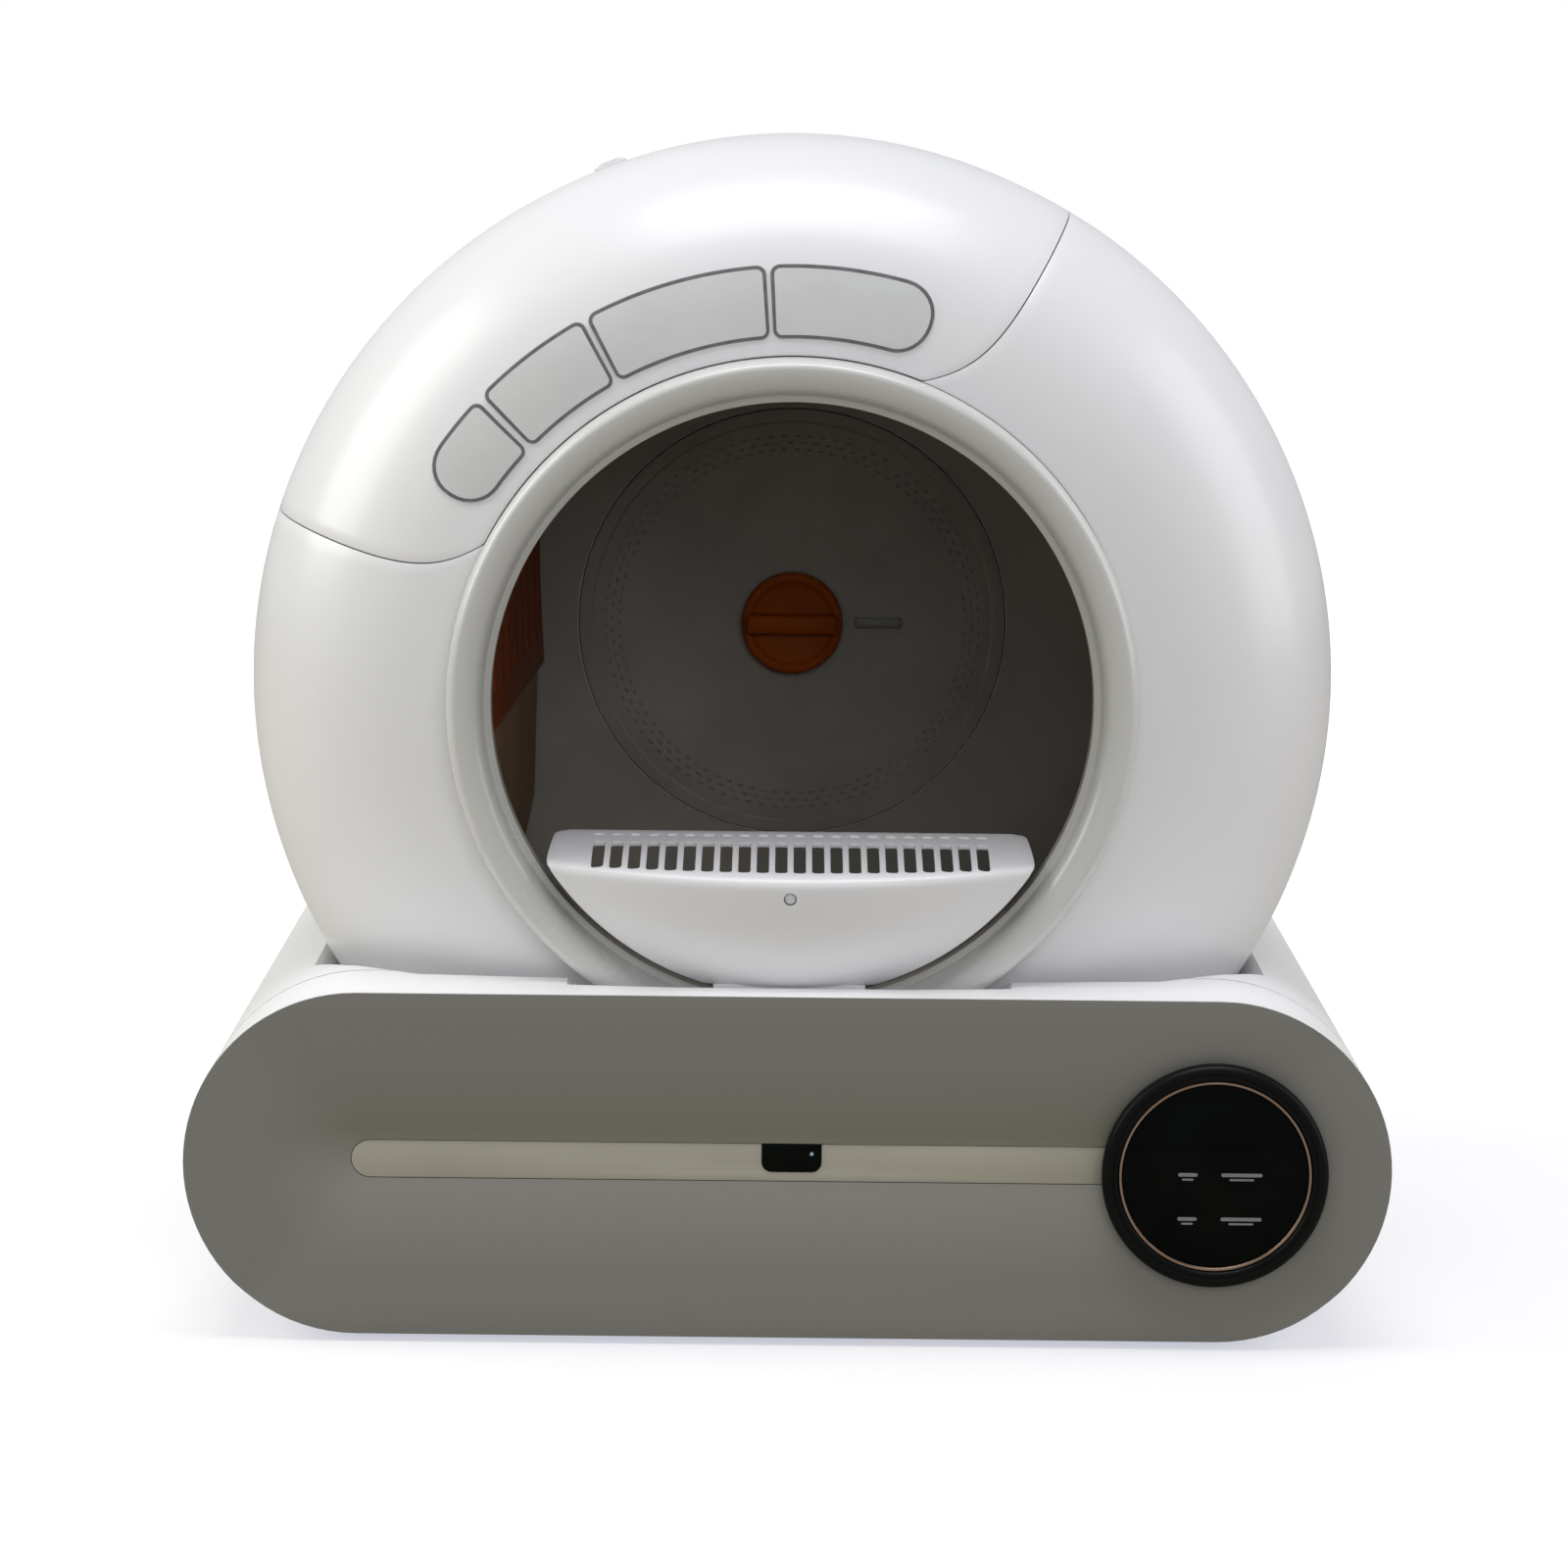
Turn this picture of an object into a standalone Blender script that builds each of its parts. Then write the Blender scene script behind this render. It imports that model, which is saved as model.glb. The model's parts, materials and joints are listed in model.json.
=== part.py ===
"""Self cleaning litter box: a round drum that turns on a rear shaft, over a waste drawer in a long base.

Metres, +Z up, the entry faces -Y. The origin is under the middle of the whole object, on the floor.
Depths are measured from the front face of the drawer, towards the back.
"""
import math

import bmesh
import bpy
from mathutils import Matrix

# Overall sizes
BASE_WIDTH = 0.600
BASE_HEIGHT = 0.172
BODY_DEPTH = 0.530
FOOT_HEIGHT = 0.004
DISC_PROUD = 0.008
WALL = 0.003
SEAT_GAP = 0.0003
MERGE = 0.00001

# Drum: the axis runs from front to back
DRUM_RADIUS = 0.281
DRUM_FRONT = 0.060
DRUM_SETBACK = 0.080
FRONT_ROUND = 0.108
REAR_ROUND_LENGTH = 0.179
REAR_FLAT_RADIUS = 0.126
SHELL_WALL = 0.003
TUB_WALL = 0.0025
SKIN_GAP = 0.0004
DRUM_STEPS = 40
ARC_STEPS = 5

# Entry ring
RING_FRONT = 0.035
RING_WIDTH = 0.0222
RING_LIP = 0.0037
RING_CREST = 0.0172
RING_FUNNEL = 0.0145
RING_ROUND = 0.0060

# Removable top cover, and the quarter-turn lock on its rear tab
COVER_MIDDLE = 111.0
COVER_HALF_SPAN = 50.6
COVER_NECK_SPAN = 43.0
COVER_NECK_WIDTH = 0.003
COVER_SEAM_END = 0.027
COVER_PAST_BAND = 0.019
COVER_GAP = 0.0003
LOCK_OVERHANG = 0.014
LOCK_HEAD_RADIUS = 0.007
LOCK_HEAD_HEIGHT = 0.0012
LOCK_WING_HEIGHT = 0.0007
LOCK_SHANK_RADIUS = 0.0022
LOCK_SHANK_LENGTH = 0.0056
TAB_WIDTH = 0.018
TAB_THICKNESS = 0.0017
TAB_END = 0.010
TAB_ROOT = 0.006
TAB_SINK = 0.0036

# Waste port in the rear of the drum, and the chute below it in the base
PORT_ANGLE = 125.0
PORT_PAST_BAND = 0.034
PORT_LENGTH = 0.090
PORT_WIDTH = 0.072
CHUTE_ANGLE = 229.0
CHUTE_FRONT_LIP = 0.005
CHUTE_WIDTH = 0.064

# Back plate, hub, shaft and knob
HUB_RADIUS = 0.0616
HUB_THICKNESS = 0.008
SHAFT_RADIUS = 0.008
RUN_GAP = 0.0003
PLATE_THICKNESS = 0.0031
VENT_COUNT = 12
VENT_CIRCLE = 0.112
VENT_RADIUS = 0.0022
KNOB_RADIUS = 0.029
KNOB_THICKNESS = 0.008
GRIP_HEIGHT = 0.011
GRIP_DEPTH = 0.011
GRIP_LENGTH = 0.054
POINTER_START = 0.036
POINTER_LENGTH = 0.027
POINTER_HEIGHT = 0.010
POINTER_THICKNESS = 0.002
DRIVE_HUB_RADIUS = 0.026
DRIVE_HUB_THICKNESS = 0.0075
DOG_COUNT = 3
DOG_CIRCLE = 0.018
DOG_SIZE = 0.008
DOG_LENGTH = 0.004
DOG_GAP = 0.0004
MAGNET_RADIUS = 0.005
MAGNET_CIRCLE = 0.040
MAGNET_THICKNESS = 0.0025

# Sieve inside the drum, seen at the left wall
SIEVE_THICKNESS = 0.003
SIEVE_X = -0.142
SIEVE_BELOW = 0.024
SIEVE_ABOVE = 0.136
SIEVE_BOW = 0.003
SIEVE_TURN = 1.8
SIEVE_COLUMN_COUNT = 8
SIEVE_ROW_COUNT = 2
SIEVE_SLOT_WIDTH = 0.008
SIEVE_SLOT_HEIGHT = 0.055
SIEVE_SLOT_GAP = 0.014
SIEVE_SLOT_REACH = 0.050
SIEVE_SLOT_LEAD = 0.040
SIEVE_SLOT_TAIL = 0.020
RAMP_DROP = 0.076
RAMP_FOOT_X = -0.192
RAMP_FOOT_DROP = 0.208

# Trough in the base, in which the drum turns
TROUGH_FLOOR = 0.031
DRUM_CLEARANCE = 0.004
TROUGH_SETBACK = 0.070
NOTCH_ROOM = 0.006
NOTCH_DEPTH = 0.031
STEM_GAP = 0.0008
STEM_DEPTH = 0.026
SHOULDER = ((0.106, 0.050), (0.051, 0.057), (0.018, 0.086), (0.0, 0.112))

# Base shells
SEAM_DEPTH = 0.068
DRAWER_DEPTH = 0.066
PAN_HEIGHT = 0.030
END_STEPS = 12
BOSS_RADIUS = 0.007
BOSS_SETBACK = 0.033
BOSS_FROM_END = 0.014
BOSS_INNER_X = 0.070
SCREW_RADIUS = 0.002
SCREW_HEAD_RADIUS = 0.004
SCREW_HEAD_HEIGHT = 0.0012
SCREW_GAP = 0.0003
FOOT_RADIUS = 0.014
FOOT_FROM_END = 0.024
FOOT_FRONT = 0.095
FOOT_SETBACK = 0.058

# Support rollers under the drum
ROLLER_ANGLES = {"left": 225.0, "right": 315.0}
ROLLER_RADIUS = 0.0085
ROLLER_WIDTH = 0.014
ROLLER_DEPTH = 0.190
ROLLER_AXLE_RADIUS = 0.0015
ROLLER_AXLE_LENGTH = 0.0196
ROLLER_BORE_GAP = 0.0002
BRACKET_CHEEK = 0.0025
BRACKET_LENGTH = 0.024
BRACKET_FLOOR = 0.0022
ROLLER_SIDE_GAP = 0.0005
WINDOW_MARGIN = 0.0015

# Drawer: waste tray, runners and electric contacts
TRAY_INSET = 0.006
TRAY_WALL = 0.0025
TRAY_SETBACK = 0.090
TRAY_HIGH = 0.136
TRAY_ROOF_GAP = 0.006
TRAY_SIDE_GAP = 0.019
TRAY_SIDE_X = 0.150
RUNNER_X = 0.150
RUNNER_WIDTH = 0.010
RUNNER_FRONT = 0.075
CONTACT_FROM_END = 0.026
CONTACT_WIDTH = 0.016
CONTACT_Z = (0.145, 0.161)
CONTACT_LENGTH = 0.011

# Drawer front
LIP = 0.0017
PLUG_DEPTH = 0.0127
PLUG_GAP = 0.0004
PARTITION = 0.003
VALLEY_DEPTH = 0.0075
VALLEY_HALF_HEIGHT = 0.078
VALLEY_RIDGE = (-0.217, 0.215)
VALLEY_END = 0.045
STRIP_X = (-0.217, 0.1596)
STRIP_Z = 0.0916
STRIP_HALF_HEIGHT = 0.0094
STRIP_FRONT = 0.0068
STRIP_THICKNESS = 0.0034
BOARD_THICKNESS = 0.0016
WINDOW_X = 0.002
WINDOW_HALF_WIDTH = 0.0146
WINDOW_LOW = 0.087
WINDOW_CORNER = 0.005
WINDOW_FRONT = 0.0062
LED_X = 0.012
LED_Z = 0.096
LED_RADIUS = 0.0011
FIT_GAP = 0.0003

# Control disc
DISC_X = 0.212
DISC_Z = 0.0892
DISC_RADIUS = 0.0563
DISC_NECK = 0.0516
DISC_ROUND = 0.004
COPPER_OUTER = 0.0479
COPPER_INNER = 0.0455
GLASS_THICKNESS = 0.0015
GLASS_SINK = 0.003
DISC_FLOOR = 0.0025
DISC_STEPS = 32

# Step plate inside the ring
STEP_GAP = 0.0048
STEP_SHEET = 0.0025
STEP_FOOT = 0.0065
STEP_HEIGHT = 0.0595
STEP_SIDE_DEPTH = 0.037
STEP_TOP_BULGE = 0.025
STEP_LOW_BULGE = 0.008
LEDGE_REAR = 0.085
LEDGE_RISE = 0.0105
LEDGE_TAPER = 0.0031
STEP_COLUMN_COUNT = 8
STEM_HALF_WIDTH = 0.038
STEM_THICKNESS = 0.003
SLOT_COUNT = 22
SLOT_PITCH = 0.0092
SLOT_WIDTH = 0.0060
SLOT_FRONT = 0.022
SLOT_REAR = 0.062
SENSOR_RADIUS = 0.003

# Rear column with the drive
COLUMN_DEPTH = 0.066
COLUMN_HALF_WIDTH = 0.095
COVER_PLATE = 0.0027
BEARING_RADIUS = 0.0175
BEARING_LENGTH = 0.0105
BEARING_BOSS = 0.024
GEARBOX_RADIUS = 0.034
GEARBOX_LENGTH = 0.022
MOTOR_RADIUS = 0.016
MOTOR_LENGTH = 0.026
MOTOR_DROP = 0.015
SHAFT_SETBACK = 0.038
MAIN_BOARD = (0.120, 0.060)
MAIN_BOARD_RISE = 0.052
POST_RADIUS = 0.004
INLET_X = 0.060
INLET_RISE = 0.024
INLET_NOSE = 0.012
INLET_FLANGE = 0.018
SOCKET_RADIUS = 0.0034
SOCKET_DEPTH = 0.009
LOW_SCREW_X = 0.085
LOW_SCREW_RISE = 0.012
TOP_SCREW_X = 0.056
TOP_SCREW_RISE = 0.062
COVER_SCREW_LENGTH = 0.008
COVER_SEAT_WALL = 0.0012
PAN_SCREW_LENGTH = 0.014
VENT_SLOT_COUNT = 5
VENT_SLOT_PITCH = 0.012
VENT_SLOT_WIDTH = 0.003
VENT_SLOT_LENGTH = 0.070
VENT_SLOT_RISE = 0.069

# Worked out from the sizes above
FACE_Y = DISC_PROUD - (BODY_DEPTH + DISC_PROUD) / 2
END_RADIUS = BASE_HEIGHT / 2
END_X = BASE_WIDTH / 2 - END_RADIUS
MIDDLE_Z = FOOT_HEIGHT + END_RADIUS
BASE_TOP = FOOT_HEIGHT + BASE_HEIGHT
TROUGH_RADIUS = DRUM_RADIUS + DRUM_CLEARANCE
AXIS_HEIGHT = TROUGH_FLOOR + TROUGH_RADIUS
TRAY_ROOF = TROUGH_RADIUS + TRAY_ROOF_GAP
TRAY_ROOF_SIDE = TROUGH_RADIUS + TRAY_SIDE_GAP
SIEVE_LOW = AXIS_HEIGHT - SIEVE_BELOW
SIEVE_HIGH = AXIS_HEIGHT + SIEVE_ABOVE
MAIN_BOARD_Z = BASE_TOP + MAIN_BOARD_RISE
INLET_Z = BASE_TOP + INLET_RISE
VENT_SLOT_Z = BASE_TOP + VENT_SLOT_RISE
LOW_SCREW_Z = BASE_TOP + LOW_SCREW_RISE
TOP_SCREW_Z = AXIS_HEIGHT + TOP_SCREW_RISE
COVER_SCREWS = ((-LOW_SCREW_X, LOW_SCREW_Z), (LOW_SCREW_X, LOW_SCREW_Z),
                (-TOP_SCREW_X, TOP_SCREW_Z), (TOP_SCREW_X, TOP_SCREW_Z))
MOUTH_RADIUS = DRUM_RADIUS - FRONT_ROUND
RING_INNER = MOUTH_RADIUS - RING_WIDTH
NOTCH_RADIUS = MOUTH_RADIUS + NOTCH_ROOM
STEM_RADIUS = RING_INNER - STEM_GAP
STEP_RADIUS = RING_INNER - STEP_GAP
STEP_LOW = AXIS_HEIGHT - STEP_RADIUS + STEP_FOOT
STEP_HIGH = STEP_LOW + STEP_HEIGHT
NECK_RADIUS = MOUTH_RADIUS + COVER_NECK_WIDTH
SEAM_RISE = DRUM_RADIUS - COVER_SEAM_END - NECK_RADIUS
BAND_FRONT = DRUM_FRONT + FRONT_ROUND
DRUM_REAR = BODY_DEPTH - DRUM_SETBACK
BAND_REAR = DRUM_REAR - REAR_ROUND_LENGTH
COVER_REAR = BAND_REAR + COVER_PAST_BAND
LOCK_DEPTH = COVER_REAR + LOCK_OVERHANG
TAB_REAR = LOCK_DEPTH + TAB_END
PORT_DEPTH = (BAND_REAR + PORT_PAST_BAND, BAND_REAR + PORT_PAST_BAND + PORT_LENGTH)
CHUTE_DEPTH = (PORT_DEPTH[0] - CHUTE_FRONT_LIP, PORT_DEPTH[1])
TROUGH_REAR = BODY_DEPTH - TROUGH_SETBACK
BOSS_DEPTH = BODY_DEPTH - BOSS_SETBACK
BOSS_X = END_X - BOSS_FROM_END
BOSS_PLACES = (-BOSS_X, -BOSS_INNER_X, BOSS_INNER_X, BOSS_X)
FOOT_X = END_X - FOOT_FROM_END
FOOT_DEPTHS = (FOOT_FRONT, BODY_DEPTH - FOOT_SETBACK)
TRAY_REAR = BODY_DEPTH - TRAY_SETBACK
CONTACT_X = (END_X + CONTACT_FROM_END, END_X + CONTACT_FROM_END + CONTACT_WIDTH)
COLUMN_FRONT = BODY_DEPTH - COLUMN_DEPTH
SHAFT_REAR = BODY_DEPTH - SHAFT_SETBACK
TUB_OFFSET = SHELL_WALL + SKIN_GAP
INSIDE_OFFSET = TUB_OFFSET + TUB_WALL
PLATE_REAR = DRUM_REAR - SHELL_WALL - SEAT_GAP
PLATE_FRONT = PLATE_REAR - PLATE_THICKNESS
HUB_FRONT = DRUM_REAR - SHELL_WALL
HUB_REAR = HUB_FRONT + HUB_THICKNESS
KNOB_REAR = PLATE_FRONT - SEAT_GAP
KNOB_FRONT = KNOB_REAR - KNOB_THICKNESS
BORE_RADIUS = SHAFT_RADIUS + RUN_GAP
BEARING_REAR = COLUMN_FRONT + BEARING_LENGTH
COLUMN_REAR = BODY_DEPTH - COVER_PLATE - SEAT_GAP
COVER_SEAT = BODY_DEPTH - COVER_PLATE + COVER_SEAT_WALL
PLUG_INSET = WALL + PLUG_GAP
STRIP_TOP = STRIP_Z + STRIP_HALF_HEIGHT
ROLLER_CIRCLE = DRUM_RADIUS + SEAT_GAP + ROLLER_RADIUS
BRACKET_BOTTOM = ROLLER_CIRCLE + ROLLER_RADIUS + ROLLER_SIDE_GAP + BRACKET_FLOOR

COLORS = {
    "white_plastic": ((0.86, 0.86, 0.85), 0.32, 0.0),
    "grey_fascia": ((0.20, 0.20, 0.185), 0.50, 0.0),
    "dark_plastic": ((0.075, 0.072, 0.066), 0.55, 0.0),
    "orange_plastic": ((0.60, 0.15, 0.015), 0.45, 0.0),
    "black_gloss": ((0.006, 0.007, 0.008), 0.12, 0.0),
    "black_satin": ((0.018, 0.019, 0.021), 0.35, 0.0),
    "copper": ((0.62, 0.38, 0.25), 0.30, 1.0),
    "strip_lens": ((0.42, 0.41, 0.35), 0.40, 0.0),
    "led_white": ((0.75, 0.78, 0.80), 0.30, 0.0),
    "label_film": ((0.60, 0.62, 0.62), 0.25, 0.0),
    "rubber": ((0.03, 0.03, 0.03), 0.80, 0.0),
    "steel": ((0.55, 0.55, 0.56), 0.30, 1.0),
    "green_board": ((0.02, 0.13, 0.06), 0.50, 0.0),
}


def depth(value):
    """World Y of a depth measured from the drawer's front face."""
    return FACE_Y + value


def clear_scene():
    for item in list(bpy.data.objects):
        bpy.data.objects.remove(item, do_unlink=True)


def new_collection(name):
    group = bpy.data.collections.new(name)
    bpy.context.scene.collection.children.link(group)
    return group


def make_materials():
    made = {}
    for name, (color, roughness, metallic) in COLORS.items():
        material = bpy.data.materials.new(name)
        material.use_nodes = True
        shader = material.node_tree.nodes["Principled BSDF"]
        shader.inputs["Base Color"].default_value = (*color, 1.0)
        shader.inputs["Roughness"].default_value = roughness
        shader.inputs["Metallic"].default_value = metallic
        made[name] = material
    return made


clear_scene()
PARTS = new_collection("self_cleaning_litter_box")
CUTTERS = new_collection("cutters")
MATERIALS = make_materials()


def mesh_object(name, bm):
    """A new object from a bmesh, with its faces turned outwards."""
    bmesh.ops.recalc_face_normals(bm, faces=bm.faces)
    mesh = bpy.data.meshes.new(name)
    bm.to_mesh(mesh)
    bm.free()
    return bpy.data.objects.new(name, mesh)


def part(item, material, parent=None):
    """Make an object a sub-part: its own material, the part's collection and its joint's empty."""
    own = MATERIALS[material].copy()
    own.name = item.name + "_" + material
    item.data.materials.append(own)
    PARTS.objects.link(item)
    if parent is not None:
        item.parent = parent
        item.matrix_parent_inverse = Matrix.Translation(-parent.location)
    return item


def cutter(item):
    CUTTERS.objects.link(item)
    item.hide_render = True
    item.display_type = "WIRE"
    return item


def boolean(item, tool, operation="DIFFERENCE"):
    modifier = item.modifiers.new(tool.name, "BOOLEAN")
    modifier.operation = operation
    modifier.object = tool
    return item


def empty(name, place):
    item = bpy.data.objects.new(name, None)
    item.location = place
    item.empty_display_size = 0.05
    PARTS.objects.link(item)
    return item


def arc(center, radius, start, end, segments):
    """Points of a circular arc, angles in degrees."""
    points = []
    for step in range(segments + 1):
        angle = math.radians(start + (end - start) * step / segments)
        points.append((center[0] + radius * math.cos(angle), center[1] + radius * math.sin(angle)))
    return points


def prism(name, outline, front, rear):
    """A closed XZ outline, extruded from one depth to another."""
    bm = bmesh.new()
    corners = [bm.verts.new((x, 0.0, z)) for x, z in outline]
    face = bm.faces.new(corners)
    swept = bmesh.ops.extrude_face_region(bm, geom=[face])
    moved = [v for v in swept["geom"] if isinstance(v, bmesh.types.BMVert)]
    bmesh.ops.translate(bm, vec=(0.0, rear - front, 0.0), verts=moved)
    item = mesh_object(name, bm)
    item.location = (0.0, depth(front), 0.0)
    return item


def box(name, low, high):
    """A box between two corners: x, depth and z."""
    size = [b - a for a, b in zip(low, high)]
    bm = bmesh.new()
    bmesh.ops.create_cube(bm, size=1.0, matrix=Matrix.Diagonal((*size, 1.0)))
    item = mesh_object(name, bm)
    item.location = ((low[0] + high[0]) / 2, depth((low[1] + high[1]) / 2), (low[2] + high[2]) / 2)
    return item


def rod(name, radius, front, rear, x=0.0, z=AXIS_HEIGHT, segments=24):
    """A cylinder from front to back."""
    bm = bmesh.new()
    turn = Matrix.Rotation(math.radians(90), 4, "X")
    bmesh.ops.create_cone(bm, cap_ends=True, segments=segments, radius1=radius, radius2=radius,
                          depth=rear - front, matrix=turn)
    item = mesh_object(name, bm)
    item.location = (x, depth((front + rear) / 2), z)
    return item


def post(name, radius, low, high, x, back, segments=16):
    """An upright cylinder."""
    bm = bmesh.new()
    bmesh.ops.create_cone(bm, cap_ends=True, segments=segments, radius1=radius, radius2=radius,
                          depth=high - low)
    item = mesh_object(name, bm)
    item.location = (x, depth(back), (low + high) / 2)
    return item


def turned(name, profile, closed=True, x=0.0, z=AXIS_HEIGHT, steps=DRUM_STEPS):
    """A profile of (radius, depth) points, turned about an axis that runs from front to back."""
    points = list(profile)
    area = sum(a[0] * b[1] - b[0] * a[1] for a, b in zip(points, points[1:] + points[:1]))
    if area > 0:
        points.reverse()
    mesh = bpy.data.meshes.new(name)
    edges = [(i, i + 1) for i in range(len(points) - 1)]
    if closed:
        edges.append((len(points) - 1, 0))
    mesh.from_pydata([(radius, 0.0, back) for radius, back in points], edges, [])
    item = bpy.data.objects.new(name, mesh)
    item.rotation_euler = (math.radians(-90), 0.0, 0.0)
    item.location = (x, FACE_Y, z)
    screw = item.modifiers.new("turn", "SCREW")
    screw.axis = "Z"
    screw.steps = steps
    screw.render_steps = steps
    screw.use_merge_vertices = True
    screw.merge_threshold = MERGE
    screw.use_smooth_shade = True
    return item


def radial(item, angle):
    """Stand an object, built along +X at the drum's axis, at an angle round the drum."""
    item.rotation_euler = (0.0, math.radians(-angle), 0.0)
    item.location = (0.0, FACE_Y, AXIS_HEIGHT)
    return item


def radial_box(name, angle, reach, depths, width):
    """A box round the drum: from one radius to another, between two depths."""
    size = (reach[1] - reach[0], depths[1] - depths[0], width)
    middle = ((reach[0] + reach[1]) / 2, (depths[0] + depths[1]) / 2, 0.0)
    bm = bmesh.new()
    bmesh.ops.create_cube(bm, size=1.0, matrix=Matrix.Translation(middle) @ Matrix.Diagonal((*size, 1.0)))
    return radial(mesh_object(name, bm), angle)


def radial_rod(name, angle, radius, reach, back, segments=12):
    """A cylinder that points away from the drum's axis."""
    bm = bmesh.new()
    place = Matrix.Translation(((reach[0] + reach[1]) / 2, back, 0.0)) @ Matrix.Rotation(math.radians(90), 4, "Y")
    bmesh.ops.create_cone(bm, cap_ends=True, segments=segments, radius1=radius, radius2=radius,
                          depth=reach[1] - reach[0], matrix=place)
    return radial(mesh_object(name, bm), angle)


def hull(name, points):
    bm = bmesh.new()
    for point in points:
        bm.verts.new(point)
    bmesh.ops.convex_hull(bm, input=bm.verts)
    return mesh_object(name, bm)


def stadium(inset=0.0, low=None, high=None):
    """The base's outline with round ends, drawn in by an inset and cut level at low or high."""
    radius = END_RADIUS - inset
    start = -90.0 if low is None else math.degrees(math.asin((low - MIDDLE_Z) / radius))
    end = 90.0 if high is None else math.degrees(math.asin((high - MIDDLE_Z) / radius))
    right = arc((END_X, MIDDLE_Z), radius, start, end, END_STEPS)
    left = arc((-END_X, MIDDLE_Z), radius, 180.0 - end, 180.0 - start, END_STEPS)
    return right + left


def drum_side(offset):
    """(radius, depth) points of the drum's outer surface, or of one that lies an offset inside it."""
    points = []
    for step in range(ARC_STEPS + 1):
        angle = math.radians(90) * step / ARC_STEPS
        points.append((MOUTH_RADIUS + (FRONT_ROUND - offset) * math.sin(angle),
                       BAND_FRONT - (FRONT_ROUND - offset) * math.cos(angle)))
    for step in range(ARC_STEPS + 1):
        angle = math.radians(90) * step / ARC_STEPS
        points.append((REAR_FLAT_RADIUS + (DRUM_RADIUS - REAR_FLAT_RADIUS - offset) * math.cos(angle),
                       BAND_REAR + (REAR_ROUND_LENGTH - offset) * math.sin(angle)))
    return points


def rear_radius(back, offset=0.0):
    """Radius of the drum's rear rounding at a depth."""
    share = (back - BAND_REAR) / (REAR_ROUND_LENGTH - offset)
    return REAR_FLAT_RADIUS + (DRUM_RADIUS - REAR_FLAT_RADIUS - offset) * math.sqrt(1.0 - share * share)


def shell_profile(offset, wall, mouth, rear_hole):
    """A wall that follows the drum's side, with a round hole at each end."""
    outer = drum_side(offset)
    inner = drum_side(offset + wall)
    front = [(mouth, inner[0][1]), (mouth, outer[0][1])]
    rear = [(rear_hole, outer[-1][1]), (rear_hole, inner[-1][1])]
    if mouth >= MOUTH_RADIUS:
        outer[0] = (mouth, outer[0][1])
        inner[0] = (mouth, inner[0][1])
        front = []
    return front + outer + rear + inner[::-1]


def room_profile(extra):
    """The trough that the drum turns in, made wider all round by an extra wall."""
    points = [(0.0, STEM_DEPTH - extra), (STEM_RADIUS + extra, STEM_DEPTH - extra),
              (NOTCH_RADIUS + extra, NOTCH_DEPTH - extra)]
    points += [(TROUGH_RADIUS - inward + extra, back - extra) for inward, back in SHOULDER]
    points += [(TROUGH_RADIUS + extra, TROUGH_REAR + extra), (0.0, TROUGH_REAR + extra)]
    return points


def cover_outline(gap):
    """Front view of the top cover: two seams that bow away from it, and the arc round the entry ring."""
    def seam(side):
        points = []
        for step in range(5):
            share = step / 4
            radius = NECK_RADIUS + gap + share * (SEAM_RISE - gap)
            span = COVER_NECK_SPAN + (COVER_HALF_SPAN - COVER_NECK_SPAN) * math.sin(share * math.pi / 2)
            angle = math.radians(COVER_MIDDLE + side * (span - math.degrees(gap / radius)))
            points.append((radius * math.cos(angle), radius * math.sin(angle)))
        far = DRUM_RADIUS + FRONT_ROUND / 2
        angle = math.radians(COVER_MIDDLE + side * (COVER_HALF_SPAN - math.degrees(gap / DRUM_RADIUS)))
        points.append((far * math.cos(angle), far * math.sin(angle)))
        return points

    start = COVER_MIDDLE - COVER_NECK_SPAN
    neck = arc((0.0, 0.0), NECK_RADIUS + gap, start, start + 2 * COVER_NECK_SPAN, 14)[1:-1]
    top = arc((0.0, 0.0), DRUM_RADIUS + FRONT_ROUND, COVER_MIDDLE - 40, COVER_MIDDLE + 40, 4)
    points = seam(-1) + top + seam(1)[::-1] + neck[::-1]
    return [(x, z + AXIS_HEIGHT) for x, z in points]


def make_cutters():
    """Shared cutting shapes: the trough, the inside of the drum, the cover and the ports."""
    made = {}
    made["room"] = cutter(turned("cut_room", room_profile(0.0), closed=False))
    made["room_wall"] = cutter(turned("cut_room_wall", room_profile(WALL), closed=False))
    inside = [(0.0, DRUM_FRONT + INSIDE_OFFSET + SEAT_GAP)] + drum_side(INSIDE_OFFSET + SEAT_GAP)
    inside.append((0.0, PLATE_FRONT - SEAT_GAP))
    made["inside"] = cutter(turned("cut_inside", inside, closed=False))
    made["cover_hole"] = cutter(prism("cut_cover_hole", cover_outline(0.0), 0.040, COVER_REAR))
    made["cover_keep"] = cutter(prism("cut_cover_keep", cover_outline(COVER_GAP), 0.040, COVER_REAR - COVER_GAP))
    made["port"] = cutter(radial_box("cut_port", PORT_ANGLE, (REAR_FLAT_RADIUS, DRUM_RADIUS + FRONT_ROUND),
                                         PORT_DEPTH, PORT_WIDTH))
    return made


SHARED = make_cutters()


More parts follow.
